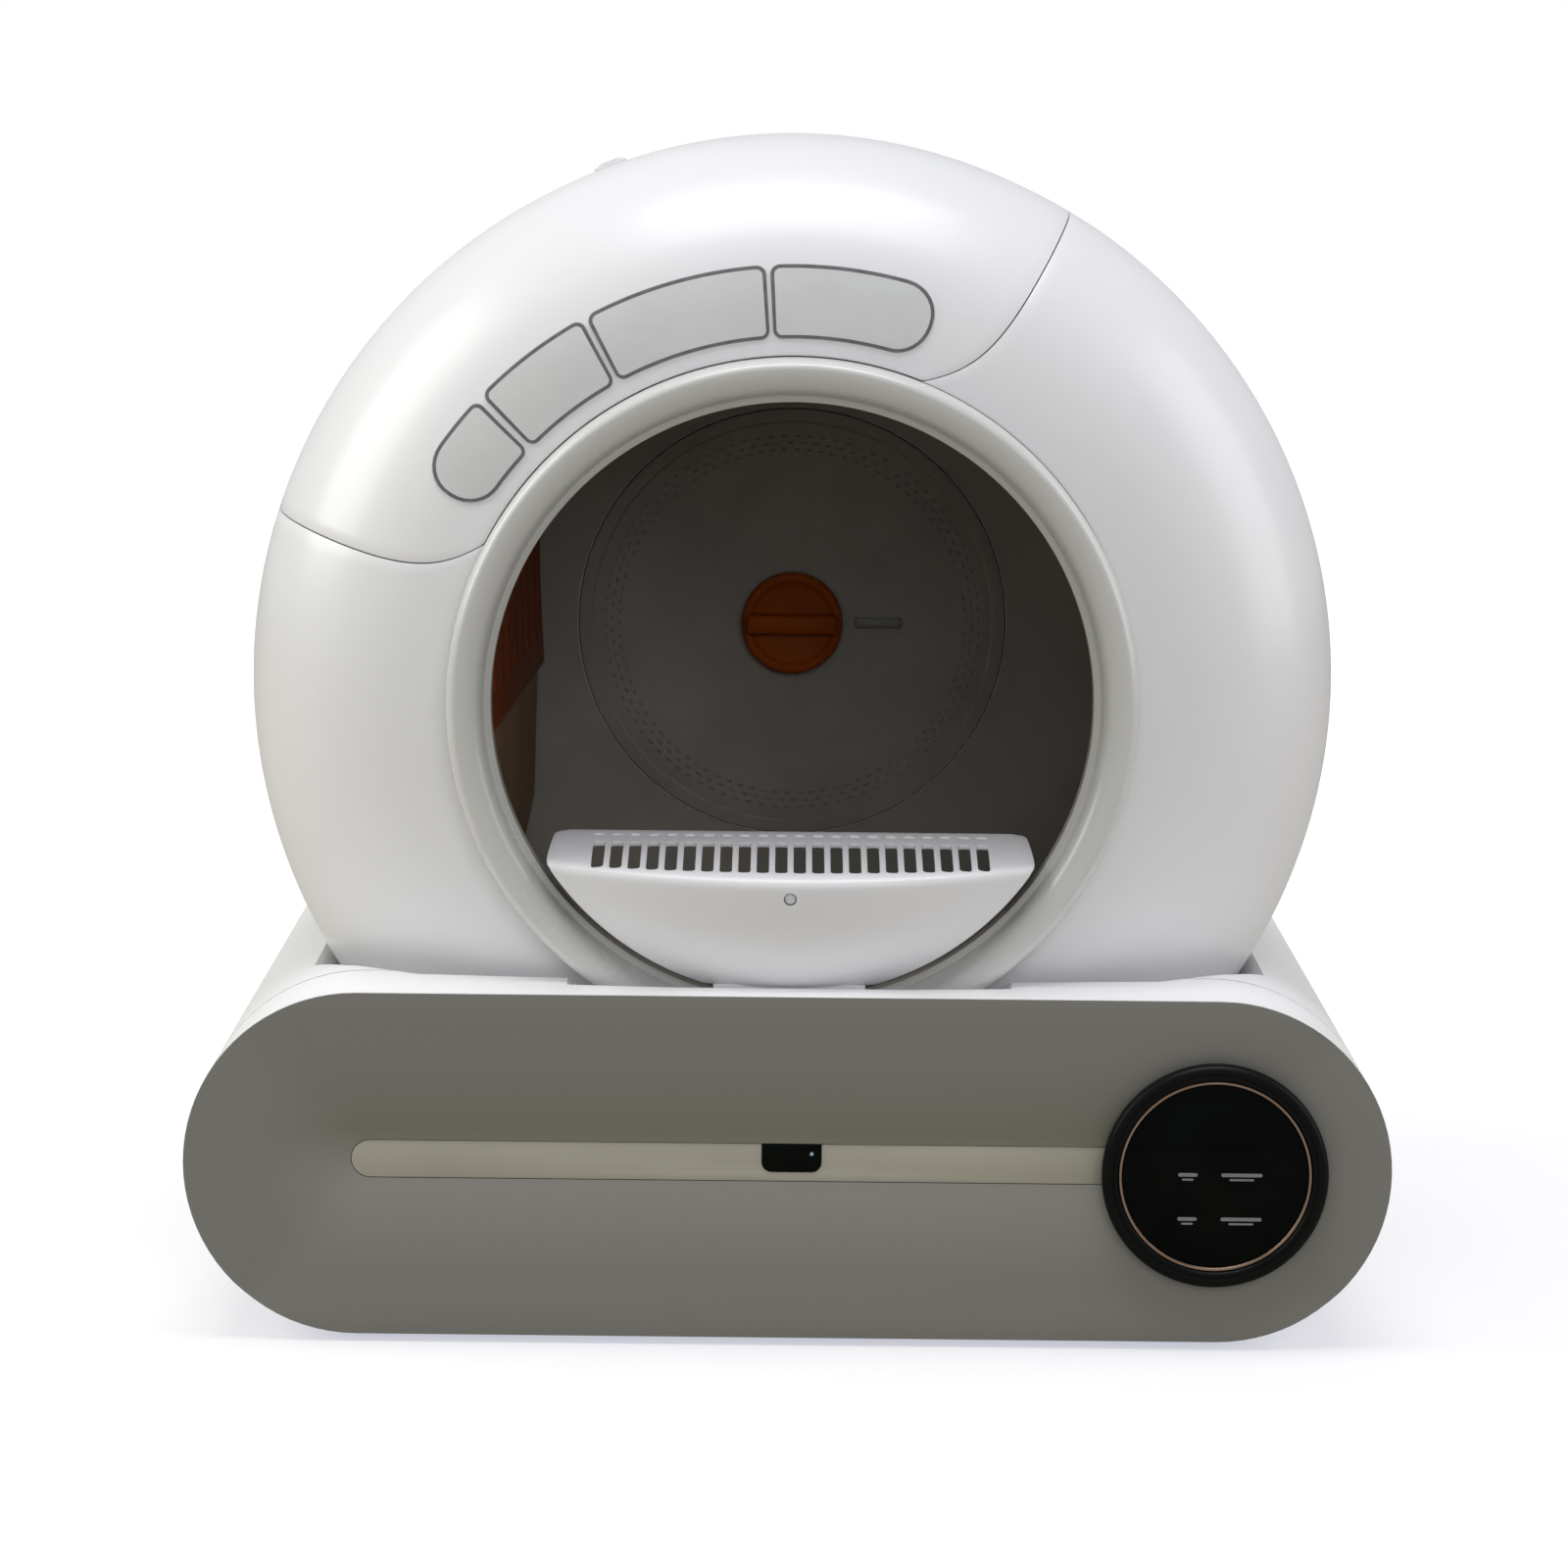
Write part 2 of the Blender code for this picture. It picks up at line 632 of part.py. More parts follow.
def make_base():
    """The fixed shells of the base: upper body with the trough, lower pan, feet and runners."""
    body = prism("base_body", stadium(low=PAN_HEIGHT + SEAT_GAP), SEAM_DEPTH, BODY_DEPTH)
    core = cutter(prism("cut_base_core", stadium(WALL), SEAM_DEPTH - 0.01, BODY_DEPTH - WALL))
    boolean(core, SHARED["room_wall"])
    boolean(body, core)
    boolean(body, SHARED["room"])
    chute = radial_box("cut_chute", CHUTE_ANGLE, (TROUGH_RADIUS - 0.010, TROUGH_RADIUS + 0.012),
                       CHUTE_DEPTH, CHUTE_WIDTH)
    boolean(body, cutter(chute))
    for side, angle in ROLLER_ANGLES.items():
        half = ROLLER_WIDTH / 2 + WINDOW_MARGIN
        window = radial_box("cut_window_" + side, angle, (TROUGH_RADIUS - 0.008, TROUGH_RADIUS + 0.008),
                            (ROLLER_DEPTH - half, ROLLER_DEPTH + half), BRACKET_LENGTH - WALL)
        boolean(body, cutter(window))
    floor = FOOT_HEIGHT + WALL
    for number, x in enumerate(BOSS_PLACES):
        boss = post(f"add_boss_{number}", BOSS_RADIUS, floor + SEAT_GAP, BASE_TOP - WALL / 2, x, BOSS_DEPTH)
        boolean(body, cutter(boss), "UNION")
        pilot = post(f"cut_pilot_{number}", SCREW_RADIUS + SCREW_GAP, FOOT_HEIGHT, floor + 0.014, x, BOSS_DEPTH, 8)
        boolean(body, cutter(pilot))
    part(body, "white_plastic")

    pan = prism("base_pan", stadium(high=PAN_HEIGHT), SEAM_DEPTH, BODY_DEPTH)
    boolean(pan, cutter(prism("cut_pan", stadium(WALL), SEAM_DEPTH - 0.01, BODY_DEPTH - WALL)))
    for number, x in enumerate(BOSS_PLACES):
        hole = post(f"cut_pan_hole_{number}", SCREW_RADIUS + SCREW_GAP, 0.0, floor + 0.003, x, BOSS_DEPTH, 8)
        boolean(pan, cutter(hole))
        screw(f"pan_screw_{number + 1}", PAN_SCREW_LENGTH, (x, BOSS_DEPTH, FOOT_HEIGHT - SEAT_GAP))
    part(pan, "white_plastic")

    for end, back in zip(("front", "rear"), FOOT_DEPTHS):
        for side, sign in (("left", -1), ("right", 1)):
            foot = post(f"foot_{end}_{side}", FOOT_RADIUS, 0.0, FOOT_HEIGHT - SEAT_GAP, sign * FOOT_X, back)
            part(foot, "rubber")
    for side, sign in (("left", -1), ("right", 1)):
        x = sign * RUNNER_X
        runner = box("runner_" + side, (x - RUNNER_WIDTH / 2, RUNNER_FRONT, floor + SEAT_GAP),
                     (x + RUNNER_WIDTH / 2, TRAY_REAR, FOOT_HEIGHT + TRAY_INSET - SEAT_GAP))
        part(runner, "dark_plastic")
    contact = box("base_contact", (CONTACT_X[0], DRAWER_DEPTH + 0.001 + SEAT_GAP, CONTACT_Z[0]),
                  (CONTACT_X[1], DRAWER_DEPTH + 0.001 + CONTACT_LENGTH, CONTACT_Z[1]))
    part(contact, "black_satin")


def screw(name, shank, place, parent=None):
    """A screw on the x, depth and z of its head's seat: level with its head behind, or upright on its head."""
    x, back, z = place
    upright = shank > 0
    length = abs(shank)
    if upright:
        item = post(name, SCREW_RADIUS, z - 0.0005, z + length, x, back, 8)
        head = post("add_head_" + name, SCREW_HEAD_RADIUS, z - SCREW_HEAD_HEIGHT, z, x, back, 12)
    else:
        item = rod(name, SCREW_RADIUS, back - length, back + 0.0005, x, z, 8)
        head = rod("add_head_" + name, SCREW_HEAD_RADIUS, back, back + SCREW_HEAD_HEIGHT, x, z, 12)
    boolean(item, cutter(head), "UNION")
    return part(item, "steel", parent)


def make_rollers():
    """Two rollers in the base that carry the front of the drum, each on an axle in a bracket."""
    for side, angle in ROLLER_ANGLES.items():
        slot = ROLLER_WIDTH / 2 + ROLLER_SIDE_GAP
        half = slot + BRACKET_CHEEK
        bracket = radial_box("roller_bracket_" + side, angle, (TROUGH_RADIUS, BRACKET_BOTTOM),
                             (ROLLER_DEPTH - half, ROLLER_DEPTH + half), BRACKET_LENGTH)
        room = radial_box("cut_roller_slot_" + side, angle, (TROUGH_RADIUS - 0.01, BRACKET_BOTTOM - BRACKET_FLOOR),
                          (ROLLER_DEPTH - slot, ROLLER_DEPTH + slot), BRACKET_LENGTH + 0.004)
        boolean(bracket, cutter(room))
        under = rod("cut_bracket_top_" + side, TROUGH_RADIUS + WALL + SEAT_GAP, ROLLER_DEPTH - 0.04,
                    ROLLER_DEPTH + 0.04, segments=120)
        boolean(bracket, cutter(under))
        turn = math.radians(angle)
        x = ROLLER_CIRCLE * math.cos(turn)
        z = AXIS_HEIGHT + ROLLER_CIRCLE * math.sin(turn)
        bore = rod("cut_roller_bore_" + side, ROLLER_AXLE_RADIUS + ROLLER_BORE_GAP, ROLLER_DEPTH - 0.04,
                   ROLLER_DEPTH + 0.04, x, z, 12)
        boolean(bracket, cutter(bore))
        part(bracket, "dark_plastic")
        axle = rod("roller_axle_" + side, ROLLER_AXLE_RADIUS, ROLLER_DEPTH - ROLLER_AXLE_LENGTH / 2,
                   ROLLER_DEPTH + ROLLER_AXLE_LENGTH / 2, x, z, 12)
        part(axle, "steel")
        pivot = empty("roller_pivot_" + side, (x, depth(ROLLER_DEPTH), z))
        roller = rod("support_roller_" + side, ROLLER_RADIUS, ROLLER_DEPTH - ROLLER_WIDTH / 2,
                     ROLLER_DEPTH + ROLLER_WIDTH / 2, x, z, 20)
        boolean(roller, bpy.data.objects["cut_roller_bore_" + side])
        part(roller, "rubber", pivot)


def make_column():
    """The rear column, with the bearing, gearmotor, board and inlet inside it."""
    low = BASE_TOP + SEAT_GAP
    outer = [(-COLUMN_HALF_WIDTH, low), (COLUMN_HALF_WIDTH, low)]
    outer += arc((0.0, AXIS_HEIGHT), COLUMN_HALF_WIDTH, 0.0, 180.0, 16)
    width = COLUMN_HALF_WIDTH - WALL
    inner = [(-width, low + WALL), (width, low + WALL)] + arc((0.0, AXIS_HEIGHT), width, 0.0, 180.0, 16)
    column = prism("rear_column", outer, COLUMN_FRONT, COLUMN_REAR)
    boolean(column, cutter(prism("cut_column", inner, COLUMN_FRONT + WALL, BODY_DEPTH)))
    boss = rod("add_bearing_boss", BEARING_BOSS, COLUMN_FRONT + WALL / 2, BEARING_REAR)
    boolean(column, cutter(boss), "UNION")
    seat = rod("cut_bearing_seat", BEARING_RADIUS + SEAT_GAP, COLUMN_FRONT - 0.002, BEARING_REAR + 0.002)
    boolean(column, cutter(seat))
    board_front = BEARING_REAR + GEARBOX_LENGTH - 0.002
    for number, (x, z) in enumerate(board_corners()):
        stand = rod(f"add_stand_{number}", POST_RADIUS, COLUMN_FRONT + WALL / 2, board_front - SEAT_GAP, x, z, 8)
        boolean(column, cutter(stand), "UNION")
    for number, (x, z) in enumerate(COVER_SCREWS):
        lug = rod(f"add_lug_{number}", 0.0055, COLUMN_FRONT + WALL / 2, COLUMN_REAR, x, z, 8)
        boolean(column, cutter(lug), "UNION")
        pilot = rod(f"cut_lug_{number}", SCREW_RADIUS + SCREW_GAP, COLUMN_REAR - 0.012, BODY_DEPTH, x, z, 8)
        boolean(column, cutter(pilot))
    part(column, "white_plastic")

    plate = prism("rear_cover", outer, BODY_DEPTH - COVER_PLATE, BODY_DEPTH)
    for number in range(VENT_SLOT_COUNT):
        z = VENT_SLOT_Z + (number - (VENT_SLOT_COUNT - 1) / 2) * VENT_SLOT_PITCH
        slot = box(f"cut_vent_{number}", (-VENT_SLOT_LENGTH / 2, BODY_DEPTH - 0.01, z - VENT_SLOT_WIDTH / 2),
                   (VENT_SLOT_LENGTH / 2, BODY_DEPTH + 0.01, z + VENT_SLOT_WIDTH / 2))
        boolean(plate, cutter(slot))
    half = INLET_NOSE / 2 + SEAT_GAP
    inlet_hole = box("cut_inlet_hole", (INLET_X - half, BODY_DEPTH - 0.01, INLET_Z - half),
                     (INLET_X + half, BODY_DEPTH + 0.01, INLET_Z + half))
    boolean(plate, cutter(inlet_hole))
    for number, (x, z) in enumerate(COVER_SCREWS):
        hole = rod(f"cut_cover_hole_{number}", SCREW_RADIUS + SCREW_GAP, BODY_DEPTH - 0.01, BODY_DEPTH + 0.01,
                   x, z, 8)
        boolean(plate, cutter(hole))
        sink = rod(f"cut_cover_sink_{number}", SCREW_HEAD_RADIUS + SCREW_GAP, COVER_SEAT, BODY_DEPTH + 0.01,
                   x, z, 12)
        boolean(plate, cutter(sink))
    part(plate, "white_plastic")
    for number, (x, z) in enumerate(COVER_SCREWS):
        screw(f"rear_cover_screw_{number + 1}", -COVER_SCREW_LENGTH, (x, COVER_SEAT + SEAT_GAP, z))

    bearing = rod("shaft_bearing", BEARING_RADIUS, COLUMN_FRONT + SEAT_GAP, BEARING_REAR)
    shaft_bore = cutter(rod("cut_shaft_bore", BORE_RADIUS, HUB_FRONT - 0.02, SHAFT_REAR + SEAT_GAP))
    boolean(bearing, shaft_bore)
    part(bearing, "steel")
    gearbox_rear = BEARING_REAR + SEAT_GAP + GEARBOX_LENGTH
    gearbox = rod("gearbox", GEARBOX_RADIUS, BEARING_REAR + SEAT_GAP, gearbox_rear)
    boolean(gearbox, shaft_bore)
    part(gearbox, "black_satin")
    motor = rod("motor", MOTOR_RADIUS, gearbox_rear + SEAT_GAP, gearbox_rear + MOTOR_LENGTH,
                0.0, AXIS_HEIGHT - MOTOR_DROP, 20)
    part(motor, "steel")

    board_width, board_height = MAIN_BOARD
    board = box("main_board", (-board_width / 2, board_front, MAIN_BOARD_Z - board_height / 2),
                (board_width / 2, board_front + BOARD_THICKNESS, MAIN_BOARD_Z + board_height / 2))
    chips = ((-0.035, 0.010, 0.022, 0.004), (0.020, -0.008, 0.030, 0.009), (0.045, 0.015, 0.014, 0.012))
    for number, (x, z, size, tall) in enumerate(chips):
        chip = box(f"add_chip_{number}", (x - size / 2, board_front + 0.001, MAIN_BOARD_Z + z - size / 3),
                   (x + size / 2, board_front + BOARD_THICKNESS + tall, MAIN_BOARD_Z + z + size / 3))
        boolean(board, cutter(chip), "UNION")
    part(board, "green_board")

    half = INLET_NOSE / 2
    inlet = box("power_inlet", (INLET_X - half, COLUMN_REAR - 0.008, INLET_Z - half),
                (INLET_X + half, BODY_DEPTH, INLET_Z + half))
    flange = INLET_FLANGE / 2
    back_of_cover = BODY_DEPTH - COVER_PLATE - SEAT_GAP
    collar = box("add_inlet_flange", (INLET_X - flange, back_of_cover - 0.005, INLET_Z - flange),
                 (INLET_X + flange, back_of_cover, INLET_Z + flange))
    boolean(inlet, cutter(collar), "UNION")
    socket = rod("cut_socket", SOCKET_RADIUS, BODY_DEPTH - SOCKET_DEPTH, BODY_DEPTH + 0.01, INLET_X, INLET_Z, 12)
    boolean(inlet, cutter(socket))
    part(inlet, "black_satin")
    sensor = box("home_sensor", (-0.006, COLUMN_FRONT - 0.0033, AXIS_HEIGHT + MAGNET_CIRCLE - 0.008),
                 (0.006, COLUMN_FRONT - SEAT_GAP, AXIS_HEIGHT + MAGNET_CIRCLE + 0.008))
    part(sensor, "black_satin")


def board_corners():
    """Centres of the stands behind the main board's corners."""
    width, height = MAIN_BOARD
    x = width / 2 - POST_RADIUS
    z = height / 2 - POST_RADIUS
    return [(sx * x, MAIN_BOARD_Z + sz * z) for sx in (-1, 1) for sz in (-1, 1)]


def make_drawer():
    """The drawer: the hollow front with its fascia, lights and control disc, and the waste tray."""
    pivot = empty("drawer_slide_origin", (0.0, depth(0.0), MIDDLE_Z))
    partition_front = PLUG_DEPTH + SEAT_GAP
    front = prism("drawer_front", stadium(), LIP + SEAT_GAP, DRAWER_DEPTH)
    boolean(front, cutter(prism("cut_fascia_seat", stadium(WALL), 0.0, partition_front)))
    core = cutter(prism("cut_drawer_core", stadium(WALL), partition_front + PARTITION, DRAWER_DEPTH + 0.01))
    boolean(core, SHARED["room_wall"])
    boolean(front, core)
    boolean(front, SHARED["room"])
    part(front, "white_plastic", pivot)

    make_fascia(pivot)
    make_disc(pivot)
    make_tray(pivot)
    contact = box("drawer_contact", (CONTACT_X[0], DRAWER_DEPTH + 0.001 - CONTACT_LENGTH, CONTACT_Z[0]),
                  (CONTACT_X[1], DRAWER_DEPTH + 0.001, CONTACT_Z[1]))
    part(contact, "black_satin", pivot)
    make_step(pivot)


def strip_outline(gap):
    """The light strip's outline: a round left end and a square right end under the disc."""
    radius = STRIP_HALF_HEIGHT + gap
    left = arc((STRIP_X[0] + STRIP_HALF_HEIGHT, STRIP_Z), radius, 90.0, 270.0, 8)
    return left + [(STRIP_X[1] + gap, STRIP_Z - radius), (STRIP_X[1] + gap, STRIP_Z + radius)]


def window_outline(gap):
    """The status window: a straight top and round lower corners."""
    left = WINDOW_X - WINDOW_HALF_WIDTH - gap
    right = WINDOW_X + WINDOW_HALF_WIDTH + gap
    low = WINDOW_LOW - gap
    top = STRIP_TOP + gap
    points = [(right, top), (left, top)]
    points += arc((left + WINDOW_CORNER, low + WINDOW_CORNER), WINDOW_CORNER, 180.0, 270.0, 4)
    points += arc((right - WINDOW_CORNER, low + WINDOW_CORNER), WINDOW_CORNER, 270.0, 360.0, 4)
    return points


def make_fascia(pivot):
    fascia = prism("fascia_panel", stadium(), 0.0, LIP)
    plug = cutter(prism("add_fascia_plug", stadium(PLUG_INSET), LIP / 2, PLUG_DEPTH))
    boolean(fascia, plug, "UNION")
    ridge = [(x, depth(VALLEY_DEPTH), MIDDLE_Z) for x in VALLEY_RIDGE]
    ends = (VALLEY_RIDGE[0] - VALLEY_END, VALLEY_RIDGE[1] + VALLEY_END)
    rim = [(x, depth(0.0), MIDDLE_Z + sign * VALLEY_HALF_HEIGHT) for x in ends for sign in (-1, 1)]
    above = [(x * 1.02, depth(-0.002), MIDDLE_Z + (z - MIDDLE_Z) * 1.02) for x, _, z in rim]
    boolean(fascia, cutter(hull("cut_valley", ridge + rim + above)))
    boolean(fascia, cutter(prism("cut_strip_groove", strip_outline(FIT_GAP), -0.01, PLUG_DEPTH + 0.01)))
    disc_hole = rod("cut_disc_hole", DISC_NECK + PLUG_GAP, -0.01, PLUG_DEPTH + 0.01, DISC_X, DISC_Z, DISC_STEPS)
    boolean(fascia, cutter(disc_hole))
    part(fascia, "grey_fascia", pivot)

    strip_rear = STRIP_FRONT + STRIP_THICKNESS
    strip = prism("light_strip", strip_outline(0.0), STRIP_FRONT, strip_rear)
    boolean(strip, cutter(prism("cut_strip_window", window_outline(FIT_GAP), 0.0, PLUG_DEPTH)))
    part(strip, "strip_lens", pivot)
    board = box("led_board", (STRIP_X[0] + 0.010, strip_rear + SEAT_GAP, STRIP_Z - 0.007),
                (STRIP_X[1] - 0.004, strip_rear + SEAT_GAP + BOARD_THICKNESS, STRIP_Z + 0.007))
    part(board, "green_board", pivot)
    window = prism("status_window", window_outline(0.0), WINDOW_FRONT, strip_rear)
    lamp_hole = rod("cut_lamp_hole", LED_RADIUS + FIT_GAP, 0.0, PLUG_DEPTH, LED_X, LED_Z, 8)
    boolean(window, cutter(lamp_hole))
    part(window, "black_gloss", pivot)
    part(rod("status_led", LED_RADIUS, WINDOW_FRONT, strip_rear, LED_X, LED_Z, 8), "led_white", pivot)


def make_disc(pivot):
    """The control disc: a black cup with a copper ring and a glass face with touch keys."""
    face = -DISC_PROUD
    shelf = face + GLASS_SINK + GLASS_THICKNESS + SEAT_GAP
    rim = COPPER_OUTER + FIT_GAP
    cup_floor = PLUG_DEPTH - DISC_FLOOR - FIT_GAP
    profile = arc((DISC_RADIUS - DISC_ROUND, face + DISC_ROUND), DISC_ROUND, 0.0, -90.0, 3)
    profile += [(rim, face), (rim, shelf), (COPPER_INNER - 0.002, shelf), (COPPER_INNER - 0.002, cup_floor),
                (0.0, cup_floor), (0.0, cup_floor + DISC_FLOOR), (DISC_NECK, cup_floor + DISC_FLOOR),
                (DISC_NECK, -SEAT_GAP), (DISC_RADIUS, -SEAT_GAP)]
    start = profile.index((0.0, cup_floor + DISC_FLOOR))
    ordered = profile[start:] + profile[:start]
    bezel = turned("control_bezel", ordered, closed=False, x=DISC_X, z=DISC_Z, steps=DISC_STEPS)
    part(bezel, "black_satin", pivot)
    front = face + GLASS_SINK
    copper = turned("copper_ring", [(COPPER_INNER, front - 0.0004), (COPPER_OUTER, front - 0.0004),
                                    (COPPER_OUTER, front + GLASS_THICKNESS), (COPPER_INNER, front + GLASS_THICKNESS)],
                    x=DISC_X, z=DISC_Z, steps=DISC_STEPS)
    part(copper, "copper", pivot)
    glass = rod("control_glass", COPPER_INNER - FIT_GAP, front, front + GLASS_THICKNESS, DISC_X, DISC_Z, DISC_STEPS)
    part(glass, "black_gloss", pivot)
    board = rod("control_board", COPPER_INNER - 0.004, cup_floor - SEAT_GAP - BOARD_THICKNESS,
                cup_floor - SEAT_GAP, DISC_X, DISC_Z, 20)
    part(board, "green_board", pivot)


def tray_outline():
    """Cross-section of the waste tray: the base's round ends below, and a saddle for the drum above."""
    def roof(radius, x):
        return AXIS_HEIGHT - math.sqrt(radius * radius - x * x)

    side = math.sqrt(TRAY_ROOF_SIDE ** 2 - (AXIS_HEIGHT - TRAY_HIGH) ** 2)
    points = stadium(TRAY_INSET, high=TRAY_HIGH)
    half = len(points) // 2
    right, left = points[:half], points[half:]
    outer = [side + (TRAY_SIDE_X - side) * step / 4 for step in range(5)]
    inner = [TRAY_SIDE_X * (1 - step / 5) for step in range(5)]
    saddle = [(x, roof(TRAY_ROOF_SIDE, x)) for x in outer]
    saddle += [(x, roof(TRAY_ROOF, x)) for x in inner]
    saddle += [(0.0, roof(TRAY_ROOF, 0.0))]
    mirrored = [(-x, z) for x, z in saddle[:-1]][::-1]
    return right + saddle + mirrored + left


def make_tray(pivot):
    tray = prism("waste_tray", tray_outline(), DRAWER_DEPTH + SEAT_GAP, TRAY_REAR)
    hollow = prism("cut_tray", stadium(TRAY_INSET + TRAY_WALL, high=TRAY_HIGH + 0.001),
                   DRAWER_DEPTH + SEAT_GAP + TRAY_WALL, TRAY_REAR - TRAY_WALL)
    boolean(tray, cutter(hollow))
    part(tray, "dark_plastic", pivot)


def make_step(pivot):
    """The step plate: one bent sheet from the foot of its front wall to the rear of its slotted ledge."""
    def half_width(z):
        return math.sqrt(STEP_RADIUS ** 2 - (AXIS_HEIGHT - z) ** 2)

    rows = []
    for step in range(4):
        share = step / 3
        z = STEP_LOW + (STEP_HIGH - STEP_LOW) * share
        bulge = STEP_LOW_BULGE + (STEP_TOP_BULGE - STEP_LOW_BULGE) * math.sin(share * math.pi / 2)
        rows.append((half_width(z), z, STEP_SIDE_DEPTH, bulge))
    for step in range(1, 3):
        share = step / 2
        z = STEP_HIGH + LEDGE_RISE * share
        back = STEP_SIDE_DEPTH + (LEDGE_REAR - STEP_SIDE_DEPTH) * share
        rows.append((half_width(STEP_HIGH) - LEDGE_TAPER * share * share,
                     z, back, STEP_TOP_BULGE * (1 - share)))
    bm = bmesh.new()
    grid = []
    for half, z, back, bulge in rows:
        line = []
        for column in range(STEP_COLUMN_COUNT + 1):
            across = 2 * column / STEP_COLUMN_COUNT - 1
            line.append(bm.verts.new((half * across, back - bulge * (1 - across * across), z)))
        grid.append(line)
    for low, high in zip(grid, grid[1:]):
        for column in range(STEP_COLUMN_COUNT):
            bm.faces.new((low[column], low[column + 1], high[column + 1], high[column]))
    bmesh.ops.triangulate(bm, faces=bm.faces)
    plate = mesh_object("step_plate", bm)
    plate.location = (0.0, FACE_Y, 0.0)
    solidify = plate.modifiers.new("sheet", "SOLIDIFY")
    solidify.thickness = STEP_SHEET
    solidify.offset = 1.0 if plate.data.polygons[0].normal.y > 0 else -1.0
    solidify.use_even_offset = True
    reach = NOTCH_RADIUS * math.cos(math.pi / DRUM_STEPS) - SEAT_GAP
    chord = math.degrees(math.asin(STEM_HALF_WIDTH / reach))
    stem = arc((0.0, AXIS_HEIGHT), reach, 270.0 - chord, 270.0 + chord, 6)
    stem += [(STEM_HALF_WIDTH, STEP_LOW + 0.008), (-STEM_HALF_WIDTH, STEP_LOW + 0.008)]
    foot = cutter(prism("add_step_stem", stem, NOTCH_DEPTH + SEAT_GAP, NOTCH_DEPTH + SEAT_GAP + STEM_THICKNESS))
    boolean(plate, foot, "UNION")
    for number in range(SLOT_COUNT):
        x = (number - (SLOT_COUNT - 1) / 2) * SLOT_PITCH
        shift = STEP_TOP_BULGE * (x / half_width(STEP_HIGH)) ** 2
        slot = box(f"cut_slot_{number}", (x - SLOT_WIDTH / 2, SLOT_FRONT + shift * 0.7, STEP_HIGH - 0.012),
                   (x + SLOT_WIDTH / 2, SLOT_REAR + shift * 0.1, STEP_HIGH + 0.02))
        boolean(plate, cutter(slot))
    sensor_z = STEP_HIGH - 0.013
    hole = rod("cut_step_sensor", SENSOR_RADIUS + FIT_GAP, 0.0, STEP_SIDE_DEPTH, 0.0, sensor_z, 12)
    boolean(plate, cutter(hole))
    part(plate, "white_plastic", pivot)
    sensor = rod("step_sensor", SENSOR_RADIUS, STEP_SIDE_DEPTH - STEP_TOP_BULGE + 0.0015,
                 STEP_SIDE_DEPTH - STEP_TOP_BULGE + 0.006, 0.0, sensor_z, 12)
    part(sensor, "label_film", pivot)


def make_drum():
    """Everything that turns with the drum, and the lock knob and cover lock that turn in it."""
    pivot = empty("drum_axis", (0.0, depth(BAND_FRONT), AXIS_HEIGHT))
    shell = turned("drum_shell", shell_profile(0.0, SHELL_WALL, MOUTH_RADIUS, HUB_RADIUS + PLUG_GAP))
    boolean(shell, SHARED["cover_hole"])
    boolean(shell, SHARED["port"])
    cover = turned("top_cover", shell_profile(0.0, SHELL_WALL, MOUTH_RADIUS, HUB_RADIUS + PLUG_GAP))
    boolean(cover, SHARED["cover_keep"], "INTERSECT")
    tub_profile = shell_profile(TUB_OFFSET, TUB_WALL, RING_INNER + 0.0007, REAR_FLAT_RADIUS - 0.0025)
    tub = turned("inner_tub", tub_profile)
    boolean(tub, SHARED["cover_hole"])
    boolean(tub, SHARED["port"])
    liner = turned("cover_liner", tub_profile)
    boolean(liner, SHARED["cover_keep"], "INTERSECT")
    make_lock(shell, cover)
    part(shell, "white_plastic", pivot)
    part(cover, "white_plastic", pivot)
    part(tub, "dark_plastic", pivot)
    part(liner, "dark_plastic", pivot)

    outer = MOUTH_RADIUS - FIT_GAP
    rear = DRUM_FRONT + TUB_OFFSET - SEAT_GAP
    crest = RING_INNER + RING_CREST
    ring = [(RING_INNER, RING_FRONT + RING_FUNNEL)]
    for step in range(4):
        angle = math.radians(90) * step / 3
        ring.append((crest - (RING_CREST - RING_LIP) * math.cos(angle),
                     RING_FRONT + RING_FUNNEL * (1 - math.sin(angle))))
    for step in range(1, 3):
        angle = math.radians(90) * step / 2
        ring.append((crest + (outer - crest) * math.sin(angle), RING_FRONT + RING_ROUND * (1 - math.cos(angle))))
    ring += [(outer, rear), (RING_INNER, rear)]
    part(turned("entry_ring", ring), "white_plastic", pivot)

    make_sieve(pivot)
    make_hub(pivot)


def tab_profile():
    """(radius, depth) points of the cover's rear tab, which lies on the shell's rear rounding."""
    root = COVER_REAR - TAB_ROOT
    backs = [COVER_REAR + (TAB_REAR - COVER_REAR) * step / 3 for step in range(4)]
    top = [(rear_radius(back, -SEAT_GAP - TAB_THICKNESS), back) for back in backs]
    under = [(rear_radius(back, -SEAT_GAP), back) for back in backs]
    cover_edge = COVER_REAR - COVER_GAP
    root_low = rear_radius(COVER_REAR) - TAB_SINK
    front = [(root_low, root), (top[0][0], root)]
    return front + top + under[::-1] + [(under[0][0], cover_edge), (root_low, cover_edge)]


